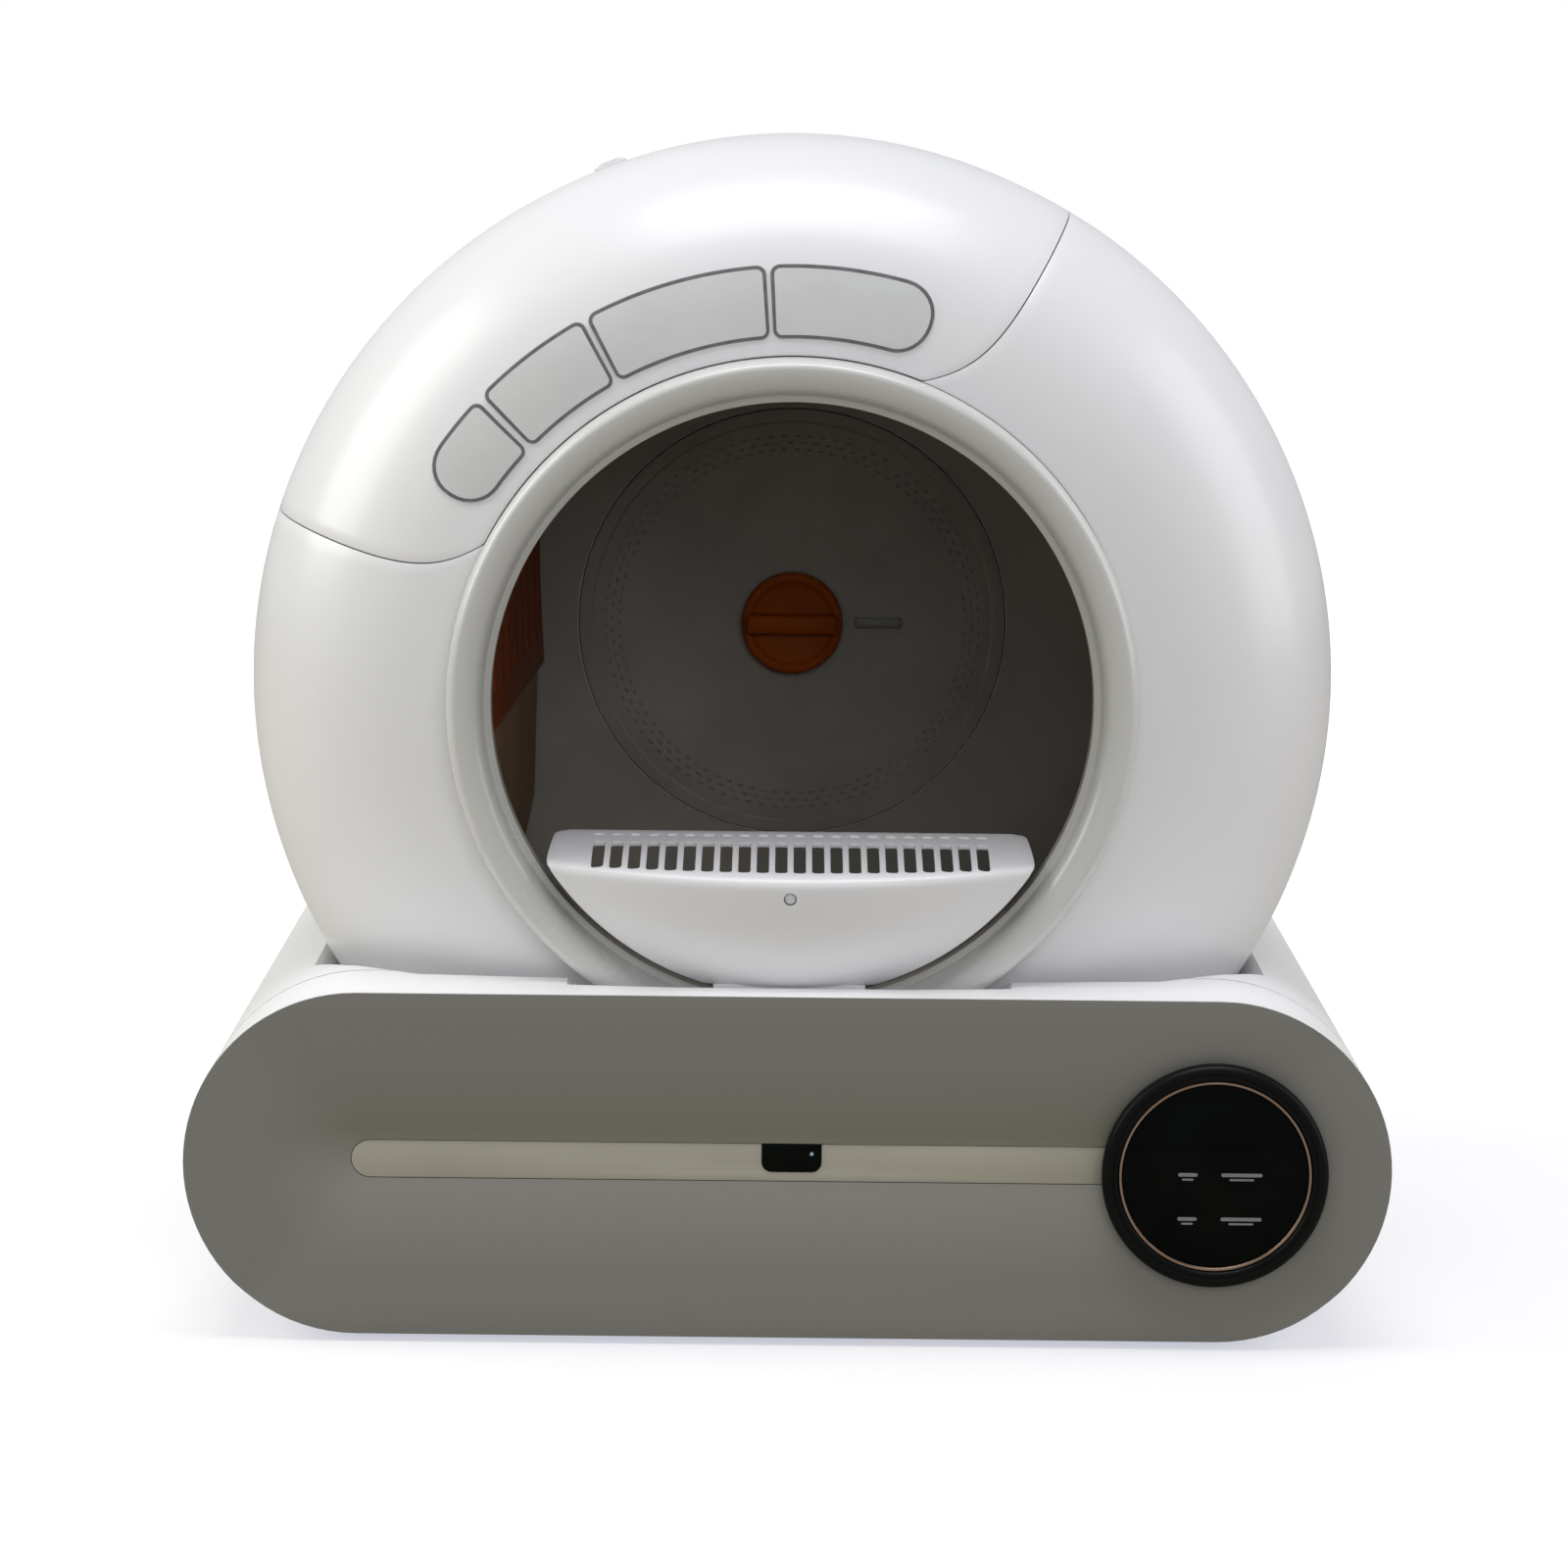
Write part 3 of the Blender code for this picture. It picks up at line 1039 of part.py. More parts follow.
def make_lock(shell, cover):
    """The cover's rear tab, and a quarter-turn lock through it into the shell."""
    bm = bmesh.new()
    corners = [bm.verts.new((radius, back, -TAB_WIDTH / 2)) for radius, back in tab_profile()]
    face = bm.faces.new(corners)
    swept = bmesh.ops.extrude_face_region(bm, geom=[face])
    moved = [v for v in swept["geom"] if isinstance(v, bmesh.types.BMVert)]
    bmesh.ops.translate(bm, vec=(0.0, 0.0, TAB_WIDTH), verts=moved)
    boolean(cover, cutter(radial(mesh_object("add_tab", bm), COVER_MIDDLE)), "UNION")
    seat = rear_radius(LOCK_DEPTH - LOCK_HEAD_RADIUS, -SEAT_GAP - TAB_THICKNESS) + SEAT_GAP
    hole = radial_rod("cut_lock", COVER_MIDDLE, LOCK_SHANK_RADIUS + SEAT_GAP,
                      (seat - LOCK_SHANK_LENGTH - 0.004, seat + 0.01), LOCK_DEPTH)
    boolean(cover, cutter(hole))
    boolean(shell, hole)
    top = seat + LOCK_HEAD_HEIGHT
    lock = radial_rod("cover_lock", COVER_MIDDLE, LOCK_HEAD_RADIUS, (seat, top), LOCK_DEPTH, 16)
    shank = radial_rod("add_lock_shank", COVER_MIDDLE, LOCK_SHANK_RADIUS,
                       (seat - LOCK_SHANK_LENGTH, seat + LOCK_HEAD_HEIGHT / 2), LOCK_DEPTH)
    boolean(lock, cutter(shank), "UNION")
    wing = radial_box("add_lock_wing", COVER_MIDDLE, (seat + LOCK_HEAD_HEIGHT / 2, top + LOCK_WING_HEIGHT),
                      (LOCK_DEPTH - 0.001, LOCK_DEPTH + 0.001), LOCK_HEAD_RADIUS * 1.6)
    boolean(lock, cutter(wing), "UNION")
    turn = math.radians(COVER_MIDDLE)
    axis_point = (seat * math.cos(turn), depth(LOCK_DEPTH), AXIS_HEIGHT + seat * math.sin(turn))
    part(lock, "dark_plastic", empty("cover_lock_axis", axis_point))


def sheet_outline(line, thickness):
    """A bent strip in front view: a line of (x, z) points given a thickness towards -X."""
    back = [(x - thickness, z) for x, z in line]
    return line + back[::-1]


def make_sieve(pivot):
    """The orange sieve at the left wall, and the plain ramp below it."""
    middle = (SIEVE_LOW + SIEVE_HIGH) / 2
    half = (SIEVE_HIGH - SIEVE_LOW) / 2
    line = []
    for step in range(7):
        z = SIEVE_LOW + (SIEVE_HIGH - SIEVE_LOW) * step / 6
        line.append((SIEVE_X - SIEVE_BOW * (1 - ((z - middle) / half) ** 2), z))
    sieve = prism("sieve", sheet_outline(line, SIEVE_THICKNESS), 0.0, PLATE_REAR - DRUM_FRONT)
    foot_x, foot_z = RAMP_FOOT_X, AXIS_HEIGHT - RAMP_FOOT_DROP
    top = SIEVE_LOW - SEAT_GAP
    low = top - RAMP_DROP
    ramp_line = [(foot_x, foot_z), (SIEVE_X - 0.024, foot_z + 0.028), (SIEVE_X - 0.009, low - 0.022),
                 (SIEVE_X - 0.005, low), (SIEVE_X - 0.004, top)]
    ramp = prism("sieve_ramp", sheet_outline(ramp_line, SIEVE_THICKNESS), 0.0, PLATE_REAR - DRUM_FRONT)
    for sheet in (sieve, ramp):
        turn_about(sheet, (SIEVE_X, depth(PLATE_REAR)), -SIEVE_TURN, PLATE_REAR - DRUM_FRONT)
        boolean(sheet, SHARED["inside"], "INTERSECT")
    span = PLATE_FRONT - BAND_FRONT + SIEVE_SLOT_LEAD - SIEVE_SLOT_TAIL
    rows = SIEVE_ROW_COUNT
    for column in range(SIEVE_COLUMN_COUNT):
        back = BAND_FRONT - SIEVE_SLOT_LEAD + span * column / (SIEVE_COLUMN_COUNT - 1)
        for row in range(rows):
            z = middle + (row - (rows - 1) / 2) * (SIEVE_SLOT_HEIGHT + SIEVE_SLOT_GAP)
            slot = box(f"cut_sieve_{column}_{row}", (SIEVE_X - SIEVE_SLOT_REACH, back, z - SIEVE_SLOT_HEIGHT / 2),
                       (SIEVE_X + SIEVE_SLOT_REACH, back + SIEVE_SLOT_WIDTH,
                        z + SIEVE_SLOT_HEIGHT / 2))
            boolean(sieve, cutter(slot))
    part(sieve, "orange_plastic", pivot)
    part(ramp, "orange_plastic", pivot)


def turn_about(item, pivot, angle, length):
    """Turn an upright sheet, whose rear edge is at a pivot in plan, about that edge."""
    turn = math.radians(angle)
    x, y = pivot
    place = Matrix.Translation((x, y, 0.0)) @ Matrix.Rotation(turn, 4, "Z")
    place = place @ Matrix.Translation((-x, -length, 0.0))
    item.data.transform(place @ Matrix.Identity(4))
    item.location = (0.0, 0.0, 0.0)


def make_hub(pivot):
    """Back plate, drum hub, drive hub and shaft, and the knob that locks the drum on the shaft."""
    plate = rod("back_plate", REAR_FLAT_RADIUS - 0.0029, PLATE_FRONT, PLATE_REAR, segments=DRUM_STEPS)
    boolean(plate, bpy.data.objects["cut_shaft_bore"])
    for number in range(VENT_COUNT):
        angle = math.tau * (number + 0.5) / VENT_COUNT
        vent = rod(f"cut_air_{number}", VENT_RADIUS, PLATE_FRONT - 0.01, PLATE_REAR + 0.01,
                   VENT_CIRCLE * math.cos(angle), AXIS_HEIGHT + VENT_CIRCLE * math.sin(angle), 6)
        boolean(plate, cutter(vent))
    part(plate, "dark_plastic", pivot)
    pointer = box("knob_pointer", (POINTER_START, PLATE_FRONT - SEAT_GAP - POINTER_THICKNESS,
                                   AXIS_HEIGHT - POINTER_HEIGHT / 2),
                  (POINTER_START + POINTER_LENGTH, PLATE_FRONT - SEAT_GAP, AXIS_HEIGHT + POINTER_HEIGHT / 2))
    part(pointer, "strip_lens", pivot)

    hub = rod("drum_hub", HUB_RADIUS, HUB_FRONT, HUB_REAR, segments=36)
    boolean(hub, bpy.data.objects["cut_shaft_bore"])
    drive = rod("drive_hub", DRIVE_HUB_RADIUS, HUB_REAR + SEAT_GAP, HUB_REAR + SEAT_GAP + DRIVE_HUB_THICKNESS)
    for number in range(DOG_COUNT):
        angle = 90.0 + 360.0 * number / DOG_COUNT
        half = DOG_SIZE / 2
        reach = (DOG_CIRCLE - half, DOG_CIRCLE + half)
        dog = radial_box(f"add_dog_{number}", angle, reach,
                         (HUB_REAR - DOG_LENGTH, HUB_REAR + 0.002), DOG_SIZE)
        boolean(drive, cutter(dog), "UNION")
        pocket = radial_box(f"cut_dog_{number}", angle, (reach[0] - DOG_GAP, reach[1] + DOG_GAP),
                            (HUB_REAR - DOG_LENGTH - DOG_GAP, HUB_REAR + 0.002), DOG_SIZE + 2 * DOG_GAP)
        boolean(hub, cutter(pocket))
    boolean(drive, bpy.data.objects["cut_shaft_bore"])
    part(hub, "dark_plastic", pivot)
    part(drive, "steel", pivot)
    magnet = rod("home_magnet", MAGNET_RADIUS, HUB_REAR + SEAT_GAP, HUB_REAR + SEAT_GAP + MAGNET_THICKNESS,
                 0.0, AXIS_HEIGHT + MAGNET_CIRCLE, 12)
    part(magnet, "steel", pivot)
    shaft = rod("output_shaft", SHAFT_RADIUS, KNOB_FRONT + SEAT_GAP, SHAFT_REAR)
    part(shaft, "steel", pivot)

    knob = rod("lock_knob", KNOB_RADIUS, KNOB_FRONT, KNOB_REAR, segments=32)
    grip = box("add_grip", (-GRIP_LENGTH / 2, KNOB_FRONT - GRIP_DEPTH, AXIS_HEIGHT - GRIP_HEIGHT / 2),
               (GRIP_LENGTH / 2, KNOB_FRONT + 0.002, AXIS_HEIGHT + GRIP_HEIGHT / 2))
    boolean(knob, cutter(grip), "UNION")
    socket = rod("cut_knob_bore", BORE_RADIUS, KNOB_FRONT, KNOB_REAR + 0.01)
    boolean(knob, cutter(socket))
    part(knob, "orange_plastic", empty("knob_axis", (0.0, depth(KNOB_REAR), AXIS_HEIGHT)))


make_base()
make_rollers()
make_column()
make_drawer()
make_drum()
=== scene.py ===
"""Looks of a self cleaning litter box: fine shells, panels, lights and finishes around its fixed frame.

Every size is in metres. +Z is up and the entry faces -Y. Depths are measured from the front face of the
drawer towards the back, and angles round the drum run anticlockwise from +X, as seen from the front.
"""
import json
import math

import bmesh
import bpy
from bpy.props import FloatProperty, FloatVectorProperty, IntProperty, PointerProperty
from mathutils import Matrix, Vector


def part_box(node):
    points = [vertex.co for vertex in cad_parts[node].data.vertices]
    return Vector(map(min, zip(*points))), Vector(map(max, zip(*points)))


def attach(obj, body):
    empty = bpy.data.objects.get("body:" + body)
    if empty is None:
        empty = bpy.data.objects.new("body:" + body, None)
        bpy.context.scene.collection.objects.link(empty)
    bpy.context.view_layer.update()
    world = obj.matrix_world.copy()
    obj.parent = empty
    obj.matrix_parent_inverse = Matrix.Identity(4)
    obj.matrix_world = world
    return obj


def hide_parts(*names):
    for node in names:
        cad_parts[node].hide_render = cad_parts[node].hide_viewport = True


bl_info = {
    "name": "Self cleaning litter box",
    "version": (1, 0, 0),
    "blender": (4, 5, 0),
    "location": "View3D > Sidebar > Litter Box",
    "description": "Builds the drum, base, drawer front and finishes of a self cleaning litter box",
    "category": "Add Mesh",
}

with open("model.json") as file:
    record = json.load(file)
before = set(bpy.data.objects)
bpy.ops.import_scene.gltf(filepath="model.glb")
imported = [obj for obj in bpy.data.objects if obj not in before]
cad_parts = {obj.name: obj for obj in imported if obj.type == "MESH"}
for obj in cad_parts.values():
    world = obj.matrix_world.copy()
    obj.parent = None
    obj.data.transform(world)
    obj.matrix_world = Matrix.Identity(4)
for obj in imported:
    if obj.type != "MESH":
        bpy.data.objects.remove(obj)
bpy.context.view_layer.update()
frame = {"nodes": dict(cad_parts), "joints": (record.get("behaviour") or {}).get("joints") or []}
NODES = frame["nodes"]
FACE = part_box("fascia_panel")[0][1]
PAN_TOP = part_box("base_pan")[1][2]
FRONT_LOW, FRONT_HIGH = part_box("drawer_front")
DISC_LOW, DISC_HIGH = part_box("control_bezel")
AXIS_Z = next(j for j in frame["joints"] if j["name"] == "drum_spin")["pos_m"][2]
# seen from the front, the base is a bar with round ends
END_RADIUS = (FRONT_HIGH[2] - FRONT_LOW[2]) / 2
END_X = FRONT_HIGH[0] - END_RADIUS
MIDDLE_Z = (FRONT_HIGH[2] + FRONT_LOW[2]) / 2
TAU = math.tau
TINY = 1e-6
# how far a cutting tool reaches past what it cuts
PAST = 0.01
# the colour sockets of a Mix node
MIX_FIRST, MIX_SECOND, MIX_RESULT = 6, 7, 2


def depth(value):
    """World Y of a depth behind the drawer's front face."""
    return FACE + value


def depths(name):
    """Front and rear depth of one of the frame's solids."""
    low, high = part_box(name)
    return low[1] - FACE, high[1] - FACE


def middle_of(name):
    """Middle (x, z) of one of the frame's solids, and half its width."""
    low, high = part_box(name)
    return (low[0] + high[0]) / 2, (low[2] + high[2]) / 2, (high[0] - low[0]) / 2


def size(name, description, default, **more):
    """A length that a user would change."""
    return FloatProperty(name=name, description=description, default=default, unit="LENGTH", precision=4,
                         **more)


def colour(name, description, default):
    """A linear colour that a user would change."""
    return FloatVectorProperty(name=name, description=description, default=default, size=3, subtype="COLOR",
                               min=0.0, max=1.0)


class DrumSizes(bpy.types.PropertyGroup):
    radius: size("Drum radius", "Widest radius of the drum", 0.281)
    start: size("Drum start", "Depth at which the drum's front rounding starts", 0.060)
    front_round: size("Front rounding", "Radius of the rounding behind the entry ring", 0.108)
    band: size("Band", "Length of the straight middle", 0.103)
    rear_round: size("Rear rounding", "Length of the rear rounding", 0.179)
    rear_flat: size("Rear flat", "Radius of the flat rear end", 0.126)
    wall: size("Shell wall", "Thickness of the white shell", 0.003)
    skin_gap: size("Liner gap", "Gap between the shell and the dark tub", 0.0004)
    tub_wall: size("Tub wall", "Thickness of the dark tub", 0.0025)
    hub_hole: size("Hub hole", "Radius of the rear hole for the hub", 0.062)
    cover_rear: size("Cover rear", "Depth of the cover's rear edge", 0.290)
    neck: size("Neck", "Radius at which the cover starts, just outside the entry ring", 0.173)
    seam: size("Seam", "Half of the gap between cover and shell", 0.0003)
    sweep: size("Seam sweep", "Length over which the seam turns away from the ring", 0.0165)
    cover_middle: FloatProperty(name="Cover middle", description="Angle of the cover's middle", default=111.0)
    cover_span: FloatProperty(name="Cover span", description="Half angle of the cover", default=51.0)
    neck_span: FloatProperty(name="Neck span", description="Half angle of the cover at the ring",
                             default=42.3)
    port_angle: FloatProperty(name="Port angle", description="Angle of the waste port", default=125.0)


class RingSizes(bpy.types.PropertyGroup):
    front: size("Ring front", "Depth of the ring's front", 0.035)
    rear: size("Ring rear", "Depth of the ring's rear edge", 0.0631)
    inner: size("Inner radius", "Radius of the entry", 0.1508)
    outer: size("Outer radius", "Outer radius of the ring", 0.1727)
    crest: size("Crest", "Radius at which the ring stands furthest forward", 0.1680)
    lip: size("Lip", "Width of the flat lip round the entry", 0.0033)
    funnel: size("Funnel", "How far the ring falls back from its crest to the lip", 0.0145)


class BaseSizes(bpy.types.PropertyGroup):
    wall: size("Wall", "Thickness of the base's walls", 0.003)
    trough: size("Trough radius", "Radius of the trough under the drum", 0.285)
    trough_rear: size("Trough rear", "Depth of the trough's rear wall", 0.460)
    notch: size("Notch radius", "Radius of the notch under the entry ring", 0.179)
    notch_front: size("Notch front", "Depth of the notch's front wall", 0.031)
    stem: size("Pocket radius", "Radius of the pocket in front of the notch", 0.150)
    stem_front: size("Pocket front", "Depth of the pocket's front wall", 0.026)
    edge: size("Edge rounding", "Rounding of the base's rear edge", 0.004)


class FrontSizes(bpy.types.PropertyGroup):
    lip: size("Lip", "Thickness of the front panel's lip", 0.0017)
    plug: size("Plug depth", "Depth of the front panel's plug", 0.0127)
    inset: size("Plug inset", "How far the plug is drawn in", 0.0034)
    valley: size("Valley depth", "Depth of the panel's hollow at the light strip", 0.0075)
    valley_half: size("Valley half height", "Distance from the strip at which the hollow ends", 0.078)
    valley_fade: size("Valley fade", "Length over which the hollow fades at its ends", 0.062)
    strip_z: size("Strip height", "Height of the light strip's middle", 0.0916)
    strip_half: size("Strip half height", "Half of the light strip's height", 0.0094)
    strip_left: size("Strip left", "Left end of the light strip", -0.217)
    strip_right: size("Strip right", "Right end of the light strip", 0.1596)
    strip_front: size("Strip front", "Depth of the light strip's face", 0.0068)
    strip_back: size("Strip back", "Depth of the light strip's rear", 0.0102)
    window_x: size("Window middle", "Middle of the status window", 0.002)
    window_half: size("Window half width", "Half width of the status window", 0.0146)
    window_low: size("Window low", "Lower edge of the status window", 0.087)


class DiscSizes(bpy.types.PropertyGroup):
    x: size("Disc x", "Middle of the control disc", (DISC_LOW[0] + DISC_HIGH[0]) / 2)
    z: size("Disc z", "Middle of the control disc", (DISC_LOW[2] + DISC_HIGH[2]) / 2)
    radius: size("Disc radius", "Outer radius of the disc", (DISC_HIGH[0] - DISC_LOW[0]) / 2)
    proud: size("Proud", "How far the disc stands out", 0.008)
    neck: size("Neck", "Radius of the disc's neck in the panel", 0.0516)
    copper: size("Copper ring", "Outer radius of the copper ring", 0.0479)
    copper_width: size("Copper width", "Width of the copper ring", 0.0016)


class StepSizes(bpy.types.PropertyGroup):
    radius: size("Step radius", "Radius that the step plate's ends follow", 0.146)
    sheet: size("Sheet", "Thickness of the step plate", 0.0022)
    sag: size("Nose sag", "How far the nose's middle hangs below its ends", 0.0024)
    low: size("Low edge", "Height of the wall's foot", 0.1765)
    high: size("Nose", "Height of the step's front edge", 0.236)
    side: size("Side depth", "Depth of the wall's ends", 0.037)
    top_bulge: size("Top bulge", "How far the nose bulges forwards", 0.025)
    low_bulge: size("Foot bulge", "How far the foot bulges forwards", 0.008)
    rear: size("Ledge rear", "Depth of the ledge's rear edge", 0.085)
    rise: size("Ledge rise", "How far the ledge rises", 0.0105)
    half: size("Ledge half width", "Half width of the ledge's rear edge", 0.119)
    pitch: size("Slot pitch", "Distance between slots", 0.0092)
    slots: IntProperty(name="Slots", description="Number of slots in the ledge", default=22)


class FinishColours(bpy.types.PropertyGroup):
    white: colour("Drum white", "Glossy white plastic of the drum", (0.78, 0.78, 0.80))
    base: colour("Base white", "Glossy white plastic of the base and column", (0.91, 0.91, 0.92))
    # the ring's colour runs from its crest to its lip and is darker at the lip: a painted shade for the
    # funnel's darkening into the entry
    ring: colour("Ring white", "White plastic of the entry ring, at its lip", (0.43, 0.43, 0.415))
    crest: colour("Ring crest", "White plastic of the entry ring, at its crest", (0.60, 0.60, 0.59))
    fascia: colour("Front panel", "Grey paint of the front panel", (0.212, 0.208, 0.192))
    strip: colour("Light strip", "Unlit diffuser of the light strip", (0.40, 0.385, 0.315))
    inside: colour("Inside", "Dark plastic of the tub", (0.27, 0.25, 0.22))
    orange: colour("Knob orange", "Orange plastic of the knob", (0.24, 0.048, 0.002))
    # the sieve's orange is darker than the knob's, as painted shade for the shadow that the sieve sits in
    sieve_painted_shade: colour("Sieve orange", "Darker orange plastic of the sieve", (0.22, 0.032, 0.002))
    brown: colour("Ramp brown", "Brown plastic of the ramp under the sieve", (0.36, 0.21, 0.10))
    black: colour("Black", "Black glass and bezel", (0.002, 0.003, 0.0025))
    copper: colour("Copper", "Copper of the trim ring", (0.36, 0.25, 0.19))
    film: colour("Film", "Film over the label fields", (0.61, 0.62, 0.62))
    line: colour("Frame line", "Grey line round the label fields", (0.12, 0.12, 0.13))


class StageSettings(bpy.types.PropertyGroup):
    place: FloatVectorProperty(name="Camera", description="Place of the camera",
                               default=(-0.0037, -2.761, 0.625), subtype="TRANSLATION")
    lens: FloatProperty(name="Lens", description="Focal length in millimetres", default=117.98)
    pitch: FloatProperty(name="Pitch", description="Degrees that the camera looks down", default=7.8)
    roll: FloatProperty(name="Roll", description="Degrees that the camera is rolled", default=0.6)
    key: FloatProperty(name="Overhead lamp", description="Power of the lamp overhead", default=305.0)
    front: FloatProperty(name="Front lamp", description="Power of the low lamp in front", default=27.0)
    left: FloatProperty(name="Left lamp", description="Power of the lamp at the left", default=44.0)
    right: FloatProperty(name="Right lamp", description="Power of the lamp at the right", default=22.0)
    sky: FloatProperty(name="Sky", description="Strength of the light from all round", default=0.27)


class LitterBoxSettings(bpy.types.PropertyGroup):
    drum: PointerProperty(type=DrumSizes)
    ring: PointerProperty(type=RingSizes)
    base: PointerProperty(type=BaseSizes)
    front: PointerProperty(type=FrontSizes)
    disc: PointerProperty(type=DiscSizes)
    step: PointerProperty(type=StepSizes)
    colours: PointerProperty(type=FinishColours)
    stage: PointerProperty(type=StageSettings)


class Shade:
    """A shader socket: arithmetic on it adds Math nodes."""

    def __init__(self, tree, socket):
        self.tree = tree
        self.socket = socket

    def math(self, operation, *others, swap=False):
        node = self.tree.nodes.new("ShaderNodeMath")
        node.operation = operation
        values = [self, *others]
        if swap:
            values.reverse()
        for index, value in enumerate(values):
            if isinstance(value, Shade):
                self.tree.links.new(value.socket, node.inputs[index])
            else:
                node.inputs[index].default_value = value
        return Shade(self.tree, node.outputs[0])

    def __add__(self, other):
        return self.math("ADD", other)

    def __sub__(self, other):
        return self.math("SUBTRACT", other)

    def __mul__(self, other):
        return self.math("MULTIPLY", other)

    def __truediv__(self, other):
        return self.math("DIVIDE", other)

    def __rsub__(self, other):
        return self.math("SUBTRACT", other, swap=True)

    def __pow__(self, other):
        return self.math("POWER", other)

    __radd__ = __add__
    __rmul__ = __mul__

    def clamped(self):
        node = self.math("ADD", 0.0)
        node.socket.node.use_clamp = True
        return node


def feed(tree, socket, value):
    """A value or a link on a socket."""
    if isinstance(value, Shade):
        value = value.socket
    if isinstance(value, bpy.types.NodeSocket):
        tree.links.new(value, socket)
    else:
        socket.default_value = value


def add_node(tree, kind, options=None, **values):
    """A node of a type, its settings first, then the values or links of its sockets."""
    node = tree.nodes.new(kind)
    for name, value in (options or {}).items():
        setattr(node, name, value)
    for name, value in values.items():
        feed(tree, node.inputs[name.replace("_", " ")], value)
    return node


class Finish:
    """One procedural material, built round a Principled shader."""

    def __init__(self, name, base, roughness, metallic=0.0, coat=0.0, coat_roughness=0.1, specular=0.5):
        self.material = bpy.data.materials.new(name)
        self.material.use_nodes = True
        self.tree = self.material.node_tree
        self.shader = self.tree.nodes["Principled BSDF"]
        self.set("Base Color", (*base, 1.0))
        self.set("Roughness", roughness)
        self.set("Metallic", metallic)
        self.set("Coat Weight", coat)
        self.set("Coat Roughness", coat_roughness)
        self.set("Specular IOR Level", specular)
        self.base = base
        self.point = self.node("ShaderNodeTexCoord").outputs["Object"]

    def set(self, name, value):
        """A value or a link on one of the shader's sockets."""
        feed(self.tree, self.shader.inputs[name], value)

    def node(self, kind, options=None, **values):
        return add_node(self.tree, kind, options, **values)

    def noise(self, scale, detail=2.0):
        node = self.node("ShaderNodeTexNoise", Vector=self.point, Scale=scale, Detail=detail)
        return Shade(self.tree, node.outputs["Fac"])

    def cells(self, scale):
        node = self.node("ShaderNodeTexVoronoi", Vector=self.point, Scale=scale)
        return Shade(self.tree, node.outputs["Distance"])

    def axis(self, name):
        """One coordinate of the point, in metres."""
        node = self.node("ShaderNodeSeparateXYZ", Vector=self.point)
        return Shade(self.tree, node.outputs[name])

    def blend(self, factor, first, second):
        """A colour between two, as a link."""
        node = self.node("ShaderNodeMix", {"data_type": "RGBA"}, Factor=factor)
        for index, tone in ((MIX_FIRST, first), (MIX_SECOND, second)):
            feed(self.tree, node.inputs[index], (*tone, 1.0) if isinstance(tone, tuple) else tone)
        return node.outputs[MIX_RESULT]

    def tint(self, amount, scale, detail=3.0):
        """Base colour that drifts a little lighter and darker over the surface."""
        low = tuple(c * (1 - amount) for c in self.base)
        high = tuple(min(1.0, c * (1 + amount)) for c in self.base)
        # the middle of the noise, stretched to reach from 0 to 1
        drift = ((self.noise(scale, detail) - 0.35) * 3.3).clamped()
        self.set("Base Color", self.blend(drift, low, high))

    def uneven(self, low, high, scale, detail=3.0):
        """Roughness that changes over the surface."""
        self.set("Roughness", self.noise(scale, detail) * (high - low) + low)

    def bump(self, height, distance, strength=1.0):
        node = self.node("ShaderNodeBump", Height=height, Distance=distance, Strength=strength)
        self.set("Normal", node.outputs["Normal"])


FINISHES = {}


